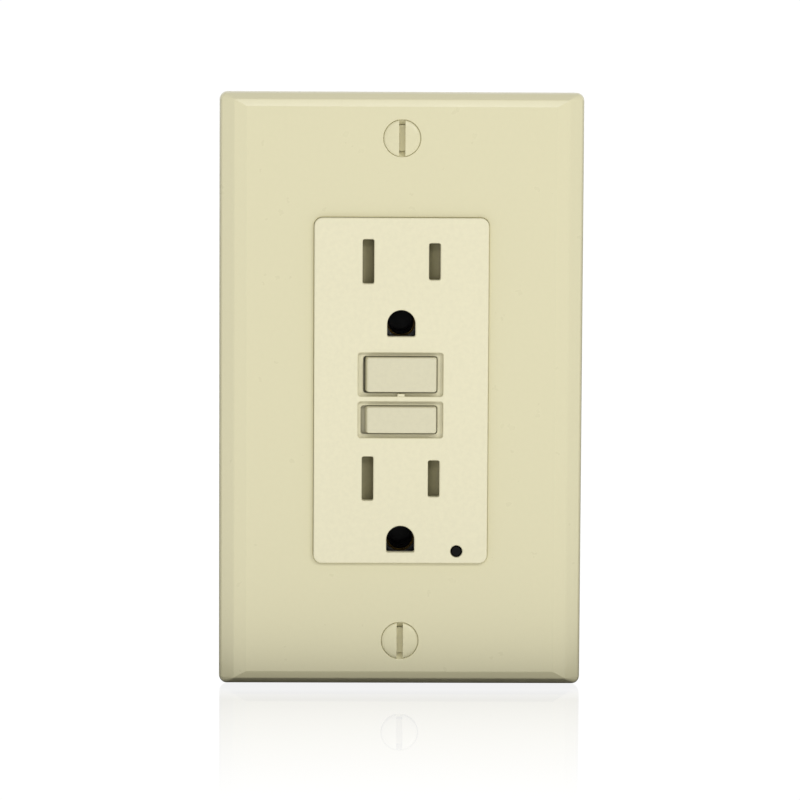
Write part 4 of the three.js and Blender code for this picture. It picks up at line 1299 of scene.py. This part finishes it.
wall_plate()
front_cover()
button("reset_button", -3.3, False)
button("test_button", -4.4, True)
screws()
springs()
turned_pieces()
mounting_strap()
rear_housing()
clamps()
contact_arms()
core_winding("ground_fault_core", 70, 0.12, "natural_plastic")
core_winding("grounded_neutral_core", 26, 0.2, "ferrite")
solenoid()
circuit_board()
surge_varistor()
filter_capacitor()
control_chip()
for node_name, cad in NODES.items():
    if not cad.hide_render:
        dress(node_name)


# ---- stage, light and camera

REFLECTION = 0.32  # how much of the plate the floor mirrors where they meet
REFLECTION_REACH = 0.13  # metres in front of the plate where the mirror image has died away
WHITE = 1.03  # the studio's brightness as the camera and mirrors see it
FAR_FLOOR = 1.12  # the floor's, as a light on the outlet, from about a centimetre in front of it
# the surround's strength as a light, and how much stronger it is to the right, the back and the top
WORLD, WORLD_LEAN = 0.62, (-0.08, 0.14, -0.17)


def stage():
    low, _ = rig.bounds()
    floor_mesh = bpy.data.meshes.new("floor")
    reach, under = 3.0, 0.0002
    corners = [(-reach, -reach), (reach, -reach), (reach, reach), (-reach, reach)]
    floor_mesh.from_pydata([(x, y, low.z - under) for x, y in corners], [], [(0, 1, 2, 3)])
    floor = thing("floor", floor_mesh)
    floor_mesh.materials.append(floor_look(low.y))
    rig.stage(floor)


def floor_look(front):
    """White, with a mirror image of the plate that dies away in front of it and is weaker where they
    touch. Its own light is another matter: dim close to the outlet and bright farther off."""
    n = Nodes("floor")
    depth = n.add("SeparateXYZ", {"Vector": n.where}).outputs[1]
    near = n.scaled(depth, 0.0, REFLECTION, front - REFLECTION_REACH, front)
    behind = n.scaled(depth, 1.0, 0.0, WALL_Y + 0.001, WALL_Y + 0.002)
    touch = n.scaled(depth, 1.0, 0.45, front - 0.014, front - 0.002)
    share = n.add("Math", {0: near, 1: behind}, operation="MULTIPLY")
    share = n.add("Math", {0: share, 1: touch}, operation="MULTIPLY")
    white = n.add("Emission", {"Color": (1, 1, 1, 1), "Strength": WHITE})
    mirror = n.add("BsdfGlossy", {"Color": (1, 1, 1, 1), "Roughness": 0.02})
    # painted shade: to bounced light the floor close to the outlet is dark, standing in for the shade the outlet casts
    # there
    near_floor_shade = n.add("BsdfDiffuse", {"Color": (0.12, 0.12, 0.115, 1)})
    ray = n.add("LightPath").outputs
    shown = n.blend(share, white, mirror)
    far = n.scaled(depth, 1.0, 0.0, front - 0.013, front - 0.005)
    glow = n.scaled(ray["Is Diffuse Ray"], 1.0, FAR_FLOOR, 0.0, 1.0)
    bright = n.add("Emission", {"Color": (1, 1, 1, 1), "Strength": glow})
    both = n.blend(ray["Is Camera Ray"], n.blend(far, near_floor_shade, bright), shown)
    n.set(n.tree.nodes["Material Output"].inputs["Surface"], both)
    return n.material


def area(name, where, size, power):
    """A rectangular lamp that faces the middle of the outlet."""
    data = bpy.data.lights.new(name, "AREA")
    data.shape, data.size, data.size_y = "RECTANGLE", size[0], size[1]
    data.energy = power
    lamp = thing(name, data)
    lamp.location = where
    lamp.rotation_euler = (-Vector(where)).to_track_quat("-Z", "Y").to_euler()


def lights():
    """A white surround, even for what is seen and mirrored and uneven as a light, and two lamps: a
    small key from the upper right, and a broad one above the camera that the crowned top edge mirrors."""
    world = bpy.data.worlds.new("studio")
    bpy.context.scene.world = world
    n = Nodes("studio", world)
    way = {0: n.places["Generated"], 1: WORLD_LEAN}
    lean = n.add("VectorMath", way, operation="DOT_PRODUCT")
    strength = n.add("Math", {0: lean.outputs["Value"], 1: WORLD}, operation="ADD")
    lit = n.add("LightPath").outputs["Is Diffuse Ray"]
    pick = n.add("Mix", {0: lit, 2: WHITE, 3: strength}, data_type="FLOAT")
    around = n.tree.nodes["Background"].inputs
    n.set(around["Strength"], pick)
    n.set(around["Color"], (1, 1, 1, 1))
    area("key", (0.62, -0.90, 0.55), (0.15, 0.15), 2.7)
    area("softbox", (0.02, -1.01, 0.645), (0.5, 0.2), 2.2)


def camera():
    """Square on from just above the middle, at a distance that shows hardly any perspective."""
    data = bpy.data.cameras.new("camera")
    cam = thing("camera", data)
    azimuth, elevation, roll = radians(-1.0), radians(5.5), radians(0.3)
    distance, frame_width = 0.82, 0.15355
    target = at(-0.17, PLATE_FRONT, -1.75)
    flat = cos(elevation)
    away = Vector((sin(azimuth) * flat, -cos(azimuth) * flat, sin(elevation)))
    cam.location = target + away * distance
    aim = (-away).to_track_quat("-Z", "Y").to_matrix() @ Matrix.Rotation(roll, 3, "Z")
    cam.rotation_euler = aim.to_euler()
    data.lens = data.sensor_width * distance / frame_width
    data.clip_start, data.clip_end = 0.01, 20
    bpy.context.scene.camera = cam


stage()
lights()
camera()
bpy.context.scene.view_settings.view_transform = "Standard"

box_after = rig.bounds()
with open("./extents.json", "w") as f:
    json.dump({"before": [list(v) for v in box_before], "after": [list(v) for v in box_after]}, f)
